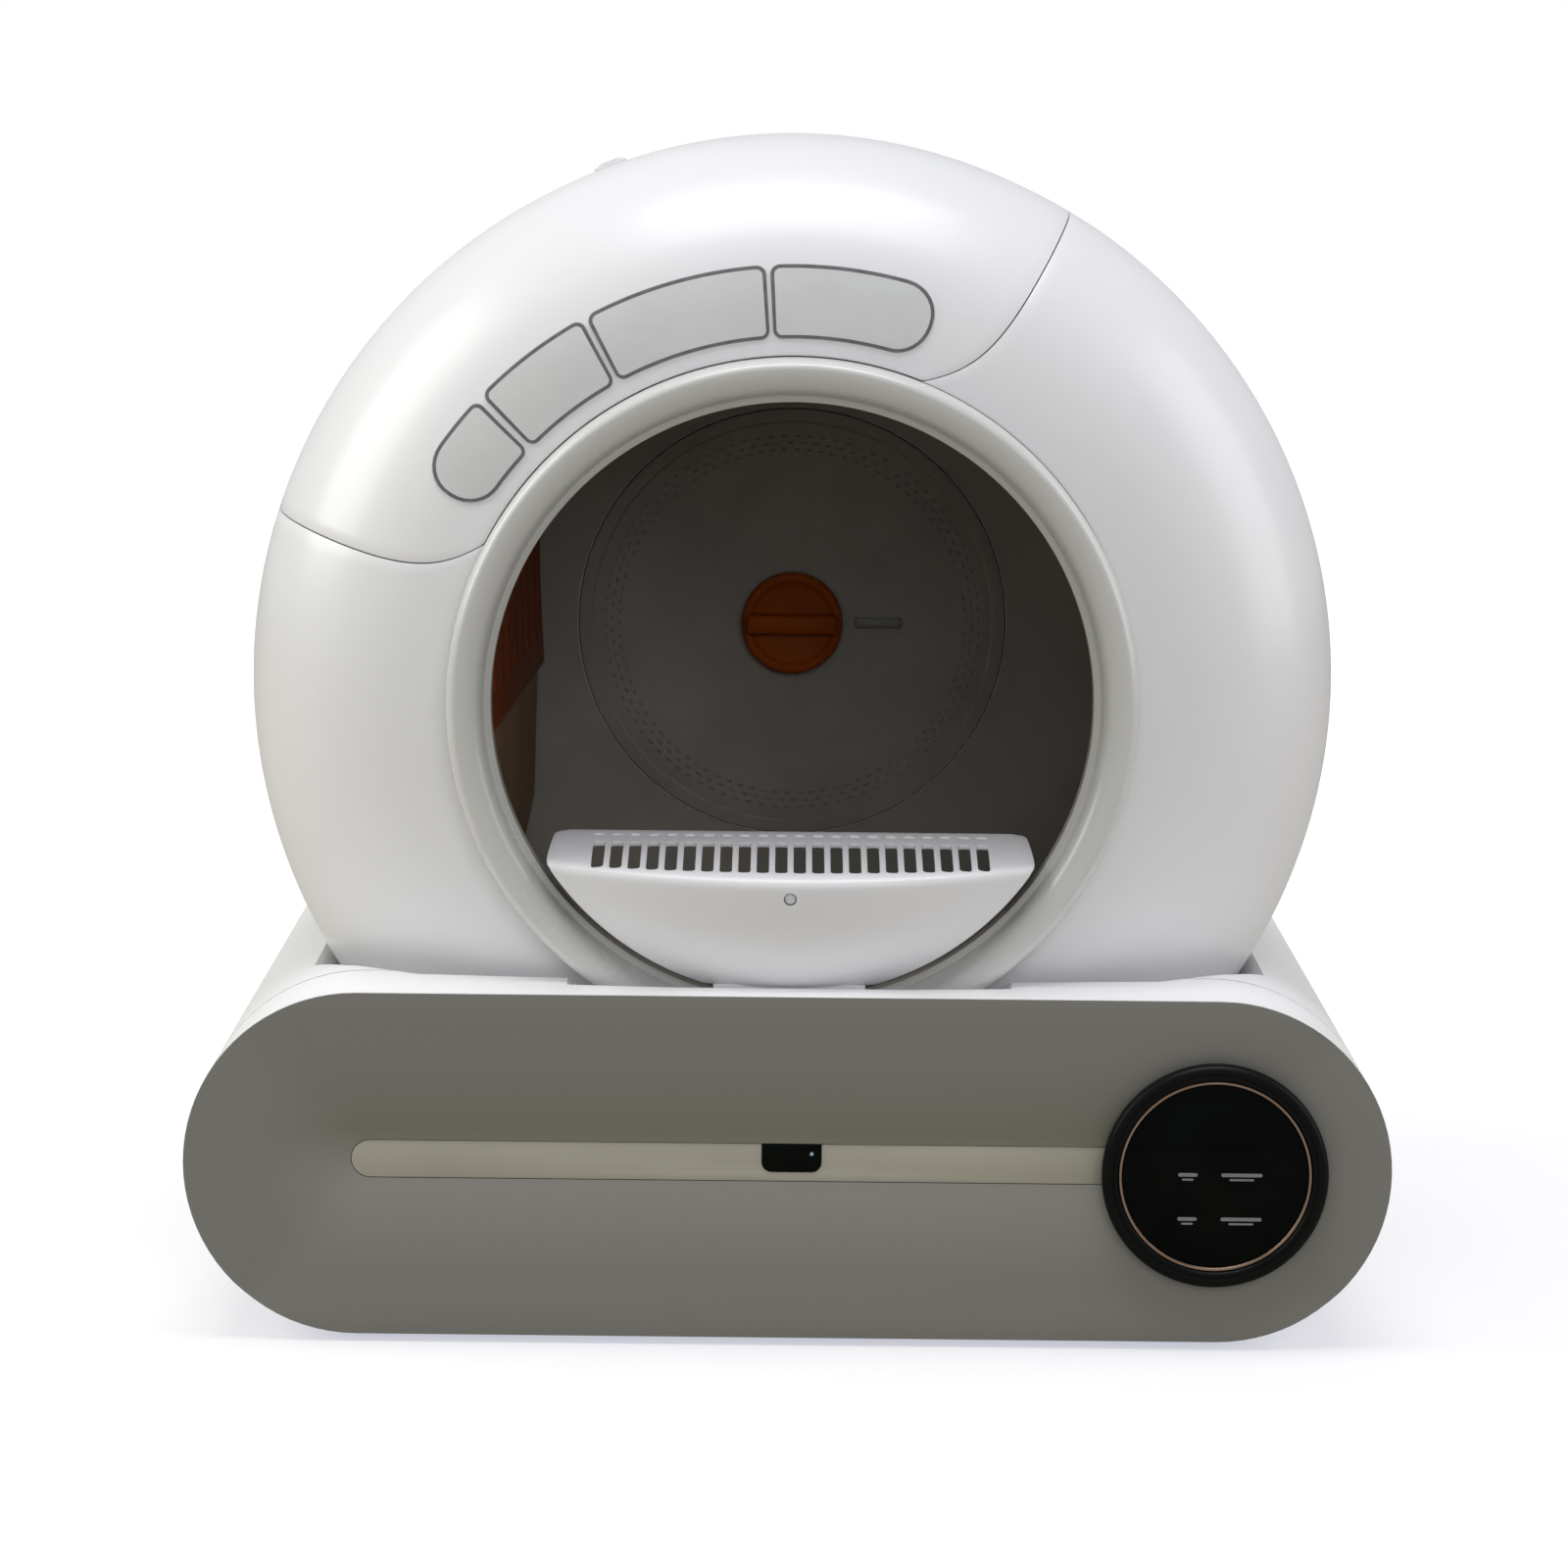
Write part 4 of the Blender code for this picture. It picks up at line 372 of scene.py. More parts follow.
def make_finishes(tones):
    """The materials of the whole object."""
    def keep(name, base, roughness, tint=None, uneven=None, **gloss):
        """A finish in the list, with what its tint and its uneven roughness take."""
        finish = Finish(name, tuple(base), roughness, **gloss)
        if tint:
            finish.tint(*tint)
        if uneven:
            finish.uneven(*uneven)
        FINISHES[name] = finish.material
        return finish

    for name, base, rough in (("shell_white", tones.white, 0.34), ("base_white", tones.base, 0.36),
                              ("ring_white", tones.crest, 0.26)):
        white = keep(name, base, rough, (0.012, 9.0), (rough - 0.03, rough + 0.04, 26.0), coat=0.25,
                     coat_roughness=0.18)
        white.bump(white.noise(1400.0, 2.0) + white.noise(60.0, 1.0) * 0.6, 0.00005, 0.35)
    # the last of the three is the ring, whose colour greys from its crest to its lip: painted shade for the
    # darkening of its funnel towards the entry
    lip, painted_shade_width = 0.152, 0.016
    x, z = white.axis("X"), white.axis("Z") - AXIS_Z
    ring_shade_share = (((x * x + z * z) ** 0.5 - lip) / painted_shade_width).clamped()
    white.set("Base Color", white.blend(ring_shade_share, tuple(tones.ring), tuple(tones.crest)))

    grey = keep("panel_grey", tones.fascia, 0.46, uneven=(0.42, 0.52, 30.0), coat=0.12,
                coat_roughness=0.35)
    grey.bump(grey.noise(2600.0, 2.0), 0.00004, 0.5)
    # painted shade just above the light strip and painted light just below it, for the shading of the panel's
    # hollow, fading out all round
    reach, turn, left, right, fade = 0.055, 0.03, -0.262, 0.21, 0.05
    rise, side = grey.axis("Z") - settings().front.strip_z, grey.axis("X")
    near = (1.0 - rise.math("ABSOLUTE") / reach).clamped()
    near = near * ((side - left) / fade).clamped() * ((right - side) / fade).clamped()
    over = (rise / turn + 0.5).clamped()
    darker = tuple(tone * share for tone, share in zip(tones.fascia, (0.82, 0.82, 0.66)))
    lighter = tuple(tone * 1.4 for tone in tones.fascia)
    with_painted_shade = grey.blend(near * over, tuple(tones.fascia), darker)
    grey.set("Base Color", grey.blend(near * (1.0 - over), with_painted_shade, lighter))

    strip = keep("strip_diffuser", tones.strip, 0.42, (0.03, 18.0), coat=0.1, coat_roughness=0.3)
    strip.bump(strip.noise(900.0, 1.0), 0.00003, 0.4)

    inside = keep("tub_dark", tones.inside, 0.55, (0.10, 14.0), (0.46, 0.64, 40.0))
    inside.bump(inside.noise(1100.0, 3.0) + inside.cells(500.0) * 0.4, 0.00012, 0.6)

    # the sieve's finish is a darker copy of the orange plastic, as painted shade
    for name, base in (("knob_orange", tones.orange), ("sieve_orange", tones.sieve_painted_shade),
                       ("ramp_brown", tones.brown)):
        orange = keep(name, base, 0.42, (0.08, 20.0), (0.36, 0.50, 45.0), specular=0.12)
        orange.bump(orange.noise(900.0, 2.0), 0.00008, 0.5)

    keep("black_glass", tones.black, 0.07, (0.3, 30.0), (0.05, 0.12, 14.0), specular=0.05)

    satin = keep("satin_black", (0.0035, 0.0036, 0.004), 0.34, (0.08, 25.0), (0.30, 0.42, 50.0),
                 specular=0.10)
    satin.bump(satin.noise(1800.0, 2.0), 0.00004, 0.4)

    keep("copper_metal", tones.copper, 0.28, (0.06, 40.0), (0.22, 0.36, 120.0), metallic=1.0)

    film = keep("label_film", tones.film, 0.26, (0.02, 30.0), (0.16, 0.32, 60.0), coat=0.35,
                coat_roughness=0.10)
    film.bump(film.noise(130.0, 3.0), 0.0004, 0.5)

    keep("frame_line", tones.line, 0.45, (0.15, 200.0))

    rubber = keep("foot_rubber", (0.025, 0.025, 0.026), 0.82, (0.15, 60.0))
    rubber.bump(rubber.noise(1500.0, 3.0), 0.0001, 0.6)

    keep("plain_steel", (0.55, 0.55, 0.56), 0.32, (0.05, 80.0), (0.24, 0.42, 200.0), metallic=1.0)

    board = keep("circuit_board", (0.015, 0.11, 0.05), 0.45, coat=0.4, coat_roughness=0.2)
    track = (board.cells(260.0) * 9.0).clamped()
    board.set("Base Color", board.blend(track, (0.03, 0.17, 0.08), (0.012, 0.09, 0.04)))

    keep("lens_clear", (0.70, 0.72, 0.74), 0.15, uneven=(0.10, 0.22, 90.0), coat=0.5)
    keep("key_mark", (0.20, 0.21, 0.23), 0.5, (0.05, 300.0))
    keep("status_lamp", (0.35, 0.50, 0.62), 0.3, (0.05, 300.0))

    grip = keep("pointer_grey", (0.16, 0.16, 0.155), 0.4, (0.06, 80.0))
    grip.bump(grip.noise(900.0, 2.0), 0.00006, 0.4)


def spun(profile, steps, closed=False, x=0.0, z=AXIS_Z):
    """A profile of (radius, depth) points, spun about an axis that runs from front to back."""
    bm = bmesh.new()
    verts = [bm.verts.new((radius, depth(back), 0.0)) for radius, back in profile]
    edges = [bm.edges.new(pair) for pair in zip(verts, verts[1:])]
    if closed:
        edges.append(bm.edges.new((verts[-1], verts[0])))
    bmesh.ops.spin(bm, geom=verts + edges, cent=(0, 0, 0), axis=(0, 1, 0), angle=TAU, steps=steps,
                   use_merge=True, use_duplicate=False)
    bmesh.ops.remove_doubles(bm, verts=bm.verts, dist=TINY)
    bmesh.ops.recalc_face_normals(bm, faces=bm.faces)
    bmesh.ops.translate(bm, vec=(x, 0.0, z), verts=bm.verts)
    return bm


def arc(center, radii, start, end, cuts):
    """Points of an elliptical arc, angles in degrees."""
    points = []
    for step in range(cuts + 1):
        angle = math.radians(start + (end - start) * step / cuts)
        points.append((center[0] + radii[0] * math.cos(angle), center[1] + radii[1] * math.sin(angle)))
    return points


def stadium(inset=0.0, low=None, high=None, cuts=28):
    """The base's outline in front view, drawn in by an inset and cut level at low or high."""
    radius = END_RADIUS - inset
    first = -90.0 if low is None else math.degrees(math.asin((low - MIDDLE_Z) / radius))
    last = 90.0 if high is None else math.degrees(math.asin((high - MIDDLE_Z) / radius))
    right = arc((END_X, MIDDLE_Z), (radius, radius), first, last, cuts)
    left = arc((-END_X, MIDDLE_Z), (radius, radius), 180.0 - last, 180.0 - first, cuts)
    return right + left


def extruded(points, vector):
    """A closed outline of points, extruded along a vector."""
    bm = bmesh.new()
    face = bm.faces.new([bm.verts.new(point) for point in points])
    swept = bmesh.ops.extrude_face_region(bm, geom=[face])
    moved = [item for item in swept["geom"] if isinstance(item, bmesh.types.BMVert)]
    bmesh.ops.translate(bm, vec=vector, verts=moved)
    bmesh.ops.recalc_face_normals(bm, faces=bm.faces)
    return bm


def prism(outline, front, rear):
    """A closed outline of (x, z) points, extruded from one depth to another."""
    return extruded([(x, depth(front), z) for x, z in outline], (0.0, rear - front, 0.0))


def bevelled(bm, edges, width, cuts, clamp=False):
    """Round some of a mesh's edges."""
    bmesh.ops.bevel(bm, geom=edges, offset=width, offset_type="OFFSET", segments=cuts, profile=0.5,
                    affect="EDGES", clamp_overlap=clamp, material=-1)
    return bm


def edges_at(bm, back):
    """The edges of a mesh that lie at a depth."""
    return [e for e in bm.edges if all(abs(v.co.y - depth(back)) < TINY for v in e.verts)]


def long_edges(verts, axis, least):
    """The edges of some points that span more than a length along an axis."""
    return list(dict.fromkeys(e for v in verts for e in v.link_edges
                              if abs(e.verts[0].co[axis] - e.verts[1].co[axis]) > least))


def sliced(bm, axis, places):
    """Cut a mesh's faces at places along an axis."""
    normal = [float(index == axis) for index in range(3)]
    for place in places:
        bmesh.ops.bisect_plane(bm, geom=bm.verts[:] + bm.edges[:] + bm.faces[:],
                               plane_co=[place * part for part in normal], plane_no=normal)


def add_box(bm, middle, span):
    """Add a box round a world point to a mesh."""
    matrix = Matrix.Translation(middle) @ Matrix.Diagonal((*span, 1.0))
    return bmesh.ops.create_cube(bm, size=1.0, matrix=matrix)["verts"]


def block(low, high, rounding, cuts=2):
    """A box between two corners (x, depth, z) with rounded edges."""
    bm = bmesh.new()
    middle = ((low[0] + high[0]) / 2, depth((low[1] + high[1]) / 2), (low[2] + high[2]) / 2)
    add_box(bm, middle, [b - a for a, b in zip(low, high)])
    return bevelled(bm, bm.edges[:], rounding, cuts, clamp=True)


def placed_round(bm, angle):
    """Turn a mesh built along +X at the drum's axis to an angle round the drum."""
    turn = Matrix.Translation((0.0, 0.0, AXIS_Z)) @ Matrix.Rotation(math.radians(-angle), 4, "Y")
    bmesh.ops.transform(bm, matrix=turn, verts=bm.verts)
    return bm


def raw(name, bm):
    """A new object from a bmesh."""
    mesh = bpy.data.meshes.new(name)
    bm.to_mesh(mesh)
    bm.free()
    item = bpy.data.objects.new(name, mesh)
    bpy.context.scene.collection.objects.link(item)
    return item


def settle(item):
    """Apply an object's modifiers."""
    graph = bpy.context.evaluated_depsgraph_get()
    mesh = bpy.data.meshes.new_from_object(item.evaluated_get(graph))
    old = item.data
    item.modifiers.clear()
    item.data = mesh
    bpy.data.meshes.remove(old)
    return item


def cut(item, *tools, operation="DIFFERENCE"):
    """Cut an object with others, or join them to it, and use those up."""
    for tool in tools:
        modifier = item.modifiers.new("cut", "BOOLEAN")
        modifier.operation = operation
        modifier.solver = "EXACT"
        modifier.object = tool
    settle(item)
    for tool in tools:
        bpy.data.objects.remove(tool, do_unlink=True)
    return item


def plug(radius, front, rear, steps, x=0.0, z=AXIS_Z):
    """A round solid between two depths, to cut a hole or a seat with."""
    return raw("plug", spun([(0.0, front), (radius, front), (radius, rear), (0.0, rear)], steps, x=x, z=z))


def thickened(item, wall, side=-1.0, even=True):
    """Give a sheet a wall: behind its faces at -1, in front at 1, to both sides at 0."""
    solid = item.modifiers.new("wall", "SOLIDIFY")
    solid.thickness = wall
    solid.offset = side
    solid.use_even_offset = even
    return settle(item)


def tidied(item, angle=0.5):
    """Merge doubles and dissolve the flat joints that cutting leaves."""
    bm = bmesh.new()
    bm.from_mesh(item.data)
    bmesh.ops.remove_doubles(bm, verts=bm.verts, dist=0.00002)
    bmesh.ops.dissolve_limit(bm, angle_limit=math.radians(angle), verts=bm.verts, edges=bm.edges,
                             delimit={"MATERIAL"})
    bm.to_mesh(item.data)
    bm.free()
    return item


def rounded(item, width, cuts=2, limit=35.0):
    """Round an object's sharp edges with a Bevel modifier and apply it."""
    modifier = item.modifiers.new("edges", "BEVEL")
    modifier.width = width
    modifier.segments = cuts
    modifier.limit_method = "ANGLE"
    modifier.angle_limit = math.radians(limit)
    modifier.miter_outer = "MITER_ARC"
    return settle(item)


def piece(item, finish, body, nodes=(), sharp=35.0):
    """A finished piece: material, shading, the body it rides on and the nodes it stands for."""
    if finish:
        item.data.materials.clear()
        item.data.materials.append(FINISHES[finish])
    item.data.shade_smooth()
    item.data.set_sharp_from_angle(angle=math.radians(sharp))
    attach(item, body)
    if nodes:
        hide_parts(*nodes)
    return item


def settings():
    return bpy.context.scene.litter_box


def front_depth(radius, lift=0.0):
    """Depth of the drum's front rounding at a radius, with the surface lifted off a little."""
    s = settings().drum
    mouth = s.radius - s.front_round
    return s.start + s.front_round - math.sqrt((s.front_round + lift) ** 2 - (radius - mouth) ** 2)


def rear_radius(back, lift=0.0):
    """Radius of the drum's rear rounding at a depth."""
    s = settings().drum
    share = (back - s.start - s.front_round - s.band) / (s.rear_round + lift)
    return s.rear_flat + (s.radius - s.rear_flat + lift) * math.sqrt(1.0 - share * share)


def drum_rows(offset, mouth, hole):
    """(radius, depth) rows of a surface that lies an offset inside the drum's skin, front to rear."""
    s = settings().drum
    center = s.radius - s.front_round
    roll = s.front_round - offset
    # the rows of the front rounding crowd towards the ring, where the seams turn
    cuts, crowd = 34, 1.25
    rows = [(mouth + (center - mouth) * k / 3, s.start + offset) for k in range(3)] if mouth < center else []
    rows += [(center + roll * math.sin(a), s.start + s.front_round - roll * math.cos(a))
             for a in (math.radians(90.0 * (k / cuts) ** crowd) for k in range(cuts + 1))]
    band_end = s.start + s.front_round + s.band
    rows += [(s.radius - offset, s.start + s.front_round + s.band * k / 3) for k in (1, 2, 3)]
    # one row of the rear rounding lies on the cover's rear edge
    length = s.rear_round - offset
    height = s.radius - s.rear_flat - offset
    seam = math.degrees(math.asin((s.cover_rear - band_end) / length))
    angles = [seam / 2] + [seam + (90.0 - seam) * k / 30 for k in range(31)]
    rows += [(s.rear_flat + height * math.cos(math.radians(a)), band_end + length * math.sin(math.radians(a)))
             for a in angles]
    if hole < s.rear_flat:
        rows += [(s.rear_flat + (hole - s.rear_flat) * k / 4, band_end + length) for k in range(1, 5)]
    return rows


COVER_COLUMNS = 60
SHELL_COLUMNS = 156


def drum_skin(name, offset, wall, mouth, hole, cover):
    """The drum's skin as a wall: either the cover between its seams, or all of it but the cover."""
    s = settings().drum
    columns = COVER_COLUMNS + SHELL_COLUMNS
    bm = spun(drum_rows(offset, mouth, hole), columns, z=0.0)
    round_end = s.start + s.front_round
    gap = -s.seam if cover else s.seam
    tags = bm.verts.layers.int.new("column")
    for vert in bm.verts:
        vert[tags] = round(math.atan2(vert.co.z, vert.co.x) % TAU / TAU * columns) % columns
    doomed = []
    for face in bm.faces:
        marks = [vert[tags] for vert in face.verts]
        low, high = min(marks), max(marks)
        # the last face of a round has the marks of the last column and of the first
        column = high if high - low > 1 else low
        middle = face.calc_center_median()
        radius = math.hypot(middle.x, middle.z)
        back = middle.y - FACE
        inside = column < COVER_COLUMNS and back < s.cover_rear and (radius > s.neck or back > round_end)
        if inside != cover:
            doomed.append(face)
    bmesh.ops.delete(bm, geom=doomed, context="FACES")
    # each column moves to its place between the seams, which spread away from the ring
    near = 0.0004
    for vert in bm.verts:
        x, y, z = vert.co
        radius = math.hypot(x, z)
        back = y - FACE
        mark = vert[tags]
        reach = 1.0
        if back < round_end:
            reach -= math.exp(-max(0.0, radius - s.neck) / s.sweep)
        span = s.neck_span + (s.cover_span - s.neck_span) * reach
        span += math.degrees(gap / max(radius, 0.1))
        if mark <= COVER_COLUMNS:
            angle = s.cover_middle - span + 2 * span * mark / COVER_COLUMNS
        else:
            angle = s.cover_middle + span + (360 - 2 * span) * (mark - COVER_COLUMNS) / SHELL_COLUMNS
        if mark <= COVER_COLUMNS and abs(back - s.cover_rear) < near:
            y += gap
        if cover and radius < s.neck + 0.0001 and back < round_end:
            radius += s.seam
        turn = math.radians(angle)
        vert.co = (radius * math.cos(turn), y, radius * math.sin(turn) + AXIS_Z)
    bm.verts.layers.int.remove(bm.verts.layers.int["column"])
    return thickened(raw(name, bm), wall)


def port_cutter():
    """A box with round corners for the waste port."""
    corner, out, back, long, wide = 0.012, 0.22, 0.350, 0.090, 0.072
    bm = bmesh.new()
    verts = add_box(bm, (out, depth(back), 0.0), (0.2, long, wide))
    bevelled(bm, long_edges(verts, 0, 0.1), corner, 6)
    return raw("port", placed_round(bm, settings().drum.port_angle))


class LitterBoxPart:
    """What the operators share."""
    bl_options = {"REGISTER", "UNDO"}

    def execute(self, context):
        self.make(context.scene.litter_box)
        return {"FINISHED"}


class LITTERBOX_OT_finishes(LitterBoxPart, bpy.types.Operator):
    """Make the procedural materials"""
    bl_idname = "litter_box.finishes"
    bl_label = "Finishes"

    def make(self, box):
        make_finishes(box.colours)


class LITTERBOX_OT_drum(LitterBoxPart, bpy.types.Operator):
    """Build the drum's white shell and its dark inner tub"""
    bl_idname = "litter_box.drum"
    bl_label = "Drum shell and tub"

    def make(self, box):
        s = box.drum
        mouth = s.radius - s.front_round
        shell = drum_skin("drum_shell_skin", 0.0, s.wall, mouth, s.hub_hole, False)
        cut(shell, port_cutter())
        piece(rounded(shell, 0.0005), "shell_white", "drum", ["drum_shell"])
        tub = drum_skin("tub_skin", s.wall + s.skin_gap, s.tub_wall, box.ring.inner + 0.0007,
                        s.rear_flat - 0.0025, False)
        cut(tub, port_cutter())
        piece(rounded(tub, 0.0004), "tub_dark", "drum", ["inner_tub"])


class LITTERBOX_OT_cover(LitterBoxPart, bpy.types.Operator):
    """Build the lift-off cover, its dark liner and its rear tab"""
    bl_idname = "litter_box.cover"
    bl_label = "Top cover"

    def make(self, box):
        s = box.drum
        cover = drum_skin("top_cover_skin", 0.0, s.wall, s.radius - s.front_round, s.hub_hole, True)
        piece(rounded(cover, 0.0005), "shell_white", "cover", ["top_cover"])
        liner = drum_skin("cover_liner_skin", s.wall + s.skin_gap, s.tub_wall, box.ring.inner + 0.0007,
                          s.rear_flat - 0.0025, True)
        piece(rounded(liner, 0.0004), "tub_dark", "cover", ["cover_liner"])
        self.tab(s)

    def tab(self, s):
        """A tab with a round end on the drum's rear rounding, which the lock sits in."""
        half, front, middle, end = 0.009, 0.288, 0.296, 0.305
        lift, thick, edge = 0.0003, 0.0017, 0.0005
        outline = [(back, -half) for back in (front, middle, end)]
        outline += [(end + half * math.sin(a), -half * math.cos(a)) for a in
                    (math.radians(180 * k / 12) for k in range(1, 12))]
        outline += [(back, half) for back in (end, middle, front)]
        bm = extruded([(rear_radius(back, lift), depth(back), side) for back, side in outline],
                      (thick, 0.0, 0.0))
        sharp = [e for e in bm.edges if e.calc_face_angle(0.0) > math.radians(40.0)]
        bevelled(bm, sharp, edge, 2, clamp=True)
        piece(raw("cover_tab", placed_round(bm, s.cover_middle)), "shell_white", "cover")


class LITTERBOX_OT_labels(LitterBoxPart, bpy.types.Operator):
    """Lay the four bare label films, each with a grey frame line, on the cover"""
    bl_idname = "litter_box.labels"
    bl_label = "Label films"

    fields = (("right", 70.2, 93.6, "right"), ("middle", 94.0, 118.9, None), ("left", 119.4, 136.1, None),
              ("far_left", 136.8, 149.6, "left"))
    inner = 0.1815
    outer = 0.2185
    middle = (inner + outer) / 2
    edge = 0.0003
    line = 0.0018
    grid = 0.004
    lift = 0.0006
    film = 0.0003

    def outline(self, start, end, round_end):
        """Corner points of a field, flat: along the arc at the field's mid radius, and across."""
        long = math.radians(end - start) * self.middle
        tall = self.outer - self.inner
        small, big = 0.005, tall / 2 - 0.001
        left = big if round_end == "left" else small
        right = big if round_end == "right" else small
        points = []
        for x, z, radius, turn in ((right, tall - right, right, 90.0), (right, right, right, 180.0),
                                   (long - left, left, left, 270.0), (long - left, tall - left, left, 0.0)):
            points += arc((x, z), (radius, radius), turn, turn + 90.0, 8)
        return points, long, tall

    def make(self, box):
        for name, start, end, round_end in self.fields:
            points, long, tall = self.outline(start, end, round_end)
            bm = bmesh.new()
            bm.faces.new([bm.verts.new((x, z, 0.0)) for x, z in points])
            bmesh.ops.recalc_face_normals(bm, faces=bm.faces)
            bmesh.ops.inset_region(bm, faces=bm.faces[:], thickness=self.edge, use_even_offset=True,
                                   use_boundary=True)
            field = max(bm.faces, key=lambda face: face.calc_area())
            border = bmesh.ops.inset_region(bm, faces=[field], thickness=self.line, use_even_offset=True)
            for face in border["faces"]:
                face.material_index = 1
            for axis, length in enumerate((long, tall)):
                sliced(bm, axis, [step * self.grid for step in range(1, int(length / self.grid))])
            for vert in bm.verts:
                angle = math.radians(start) + vert.co.x / self.middle
                radius = self.inner + vert.co.y
                vert.co = (radius * math.cos(angle), depth(front_depth(radius, self.lift)),
                           AXIS_Z + radius * math.sin(angle))
            item = raw("label_film_" + name, bm)
            for finish in ("label_film", "frame_line"):
                item.data.materials.append(FINISHES[finish])
            piece(thickened(item, self.film, 0.0, even=False), None, "cover")


class LITTERBOX_OT_ring(LitterBoxPart, bpy.types.Operator):
    """Build the soft entry ring"""
    bl_idname = "litter_box.ring"
    bl_label = "Entry ring"

    def make(self, box):
        s = box.ring
        lip = s.front + s.funnel
        flank = s.crest - s.inner - s.lip
        corner, edge, step, roll = 0.0008, 0.0006, 0.0004, 0.0085
        profile = arc((s.inner + corner, lip + corner), (corner, corner), 180.0, 270.0, 3)
        profile += [(s.inner + s.lip - edge, lip)]
        profile += arc((s.crest, lip - step), (flank, s.funnel - step), 180.0, 270.0, 20)
        profile += arc((s.crest, s.front + roll), (s.outer - s.crest, roll), 272.0, 360.0, 10)
        profile += [(s.outer, s.rear - edge), (s.outer - edge, s.rear), (s.inner + edge, s.rear),
                    (s.inner, s.rear - edge)]
        ring = raw("entry_ring_roll", spun(profile, 200, closed=True))
        piece(ring, "ring_white", "drum", ["entry_ring"])
        # the wall behind the lip takes the tub's dark finish, as painted shade for the shadow inside the
        # entry
        ring.data.materials.append(FINISHES["tub_dark"])
        for face in ring.data.polygons:
            radius = math.hypot(face.center.x, face.center.z - AXIS_Z)
            if radius < s.inner + step and face.center.y > depth(lip + 0.0015):
                face.material_index = 1


class LITTERBOX_OT_back(LitterBoxPart, bpy.types.Operator):
    """Build the back plate with its dimples, the pointer and the lock knob"""
    bl_idname = "litter_box.back"
    bl_label = "Back plate and knob"

    def make(self, box):
        front, rear = depths("back_plate")
        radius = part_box("back_plate")[1][0]
        columns, edge, half, groove = 180, 0.0008, 0.0009, 0.0009
        # three rows of dimples, and a shallow groove round them
        rows = (0.0995, 0.1035, 0.1075)
        rims = [0.0084, 0.030, 0.060, 0.090, 0.0974]
        rims += [row + side * half for row in rows for side in (-1, 1)]
        rims += [0.1096, 0.1140, 0.1146, 0.1158, 0.1164, radius - edge, radius]
        backs = [front] * 12 + [front + groove] * 2 + [front] * 2 + [front + edge, rear]
        bm = spun(list(zip(rims, backs)), columns, closed=True)
        holes = []
        for face in bm.faces:
            middle = face.calc_center_median()
            span = math.hypot(middle.x, middle.z - AXIS_Z)
            column = int(math.atan2(middle.z - AXIS_Z, middle.x) % TAU / TAU * columns)
            row = next((k for k, middle_row in enumerate(rows) if abs(span - middle_row) < edge), None)
            if row is not None and abs(middle.y - depth(front)) < TINY and (column + row) % 2 == 0:
                holes.append(face)
        bmesh.ops.inset_individual(bm, faces=holes, thickness=0.0004, depth=0.0)
        bmesh.ops.inset_individual(bm, faces=holes, thickness=0.0001, depth=-0.0015)
        piece(raw("back_plate_disc", bm), "tub_dark", "drum", ["back_plate"])
        self.knob()
        low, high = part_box("knob_pointer")
        front, rear = depths("knob_pointer")
        pointer = block((low[0], front, low[2] + 0.002), (high[0], rear, high[2] - 0.002), 0.0009, 3)
        piece(raw("pointer_bar", pointer), "pointer_grey", "drum", ["knob_pointer"])

    def knob(self):
        """A disc with a dished middle, and a grip across it."""
        front, rear = depths("lock_knob")
        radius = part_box("lock_knob")[1][0]
        disc = rear - 0.008
        edge, corner, under = 0.0005, 0.0022, 0.0006
        profile = [(0.0, disc), (0.0215, disc), (0.0228, disc - 0.0003), (0.0240, disc - 0.0014),
                   (0.0250, disc - 0.0019)]
        profile += arc((radius - corner, disc + 0.0003), (corner, corner), 270.0, 360.0, 5)
        profile += [(radius, rear - edge), (radius - edge, rear), (0.0083, rear), (0.0083, disc + under),
                    (0.0, disc + under)]
        item = raw("lock_knob_disc", spun(profile, 72))
        long, tall = 0.0262, 0.0055
        grip = block((-long, front, AXIS_Z - tall), (long, disc + 0.004, AXIS_Z + tall), corner, 3)
        cut(item, raw("grip", grip), operation="UNION")
        piece(item, "knob_orange", "knob", ["lock_knob"])


class LITTERBOX_OT_sieve(LitterBoxPart, bpy.types.Operator):
    """Give the sieve, its ramp and the waste tray rounded edges"""
    bl_idname = "litter_box.sieve"
    bl_label = "Sieve and tray"

    def make(self, box):
        for name, finish, body, slot in (("sieve", "sieve_orange", "drum", "orange_plastic"),
                                         ("sieve_ramp", "ramp_brown", "drum", "orange_plastic"),
                                         ("waste_tray", "tub_dark", "drawer", "dark_plastic")):
            item = NODES[name].copy()
            item.data = NODES[name].data.copy()
            item.name = name + "_plate"
            bpy.context.scene.collection.objects.link(item)
            tidied(item, 1.0)
            rounded(item, 0.0006, 2, 50.0)
            piece(item, finish, body, [name])


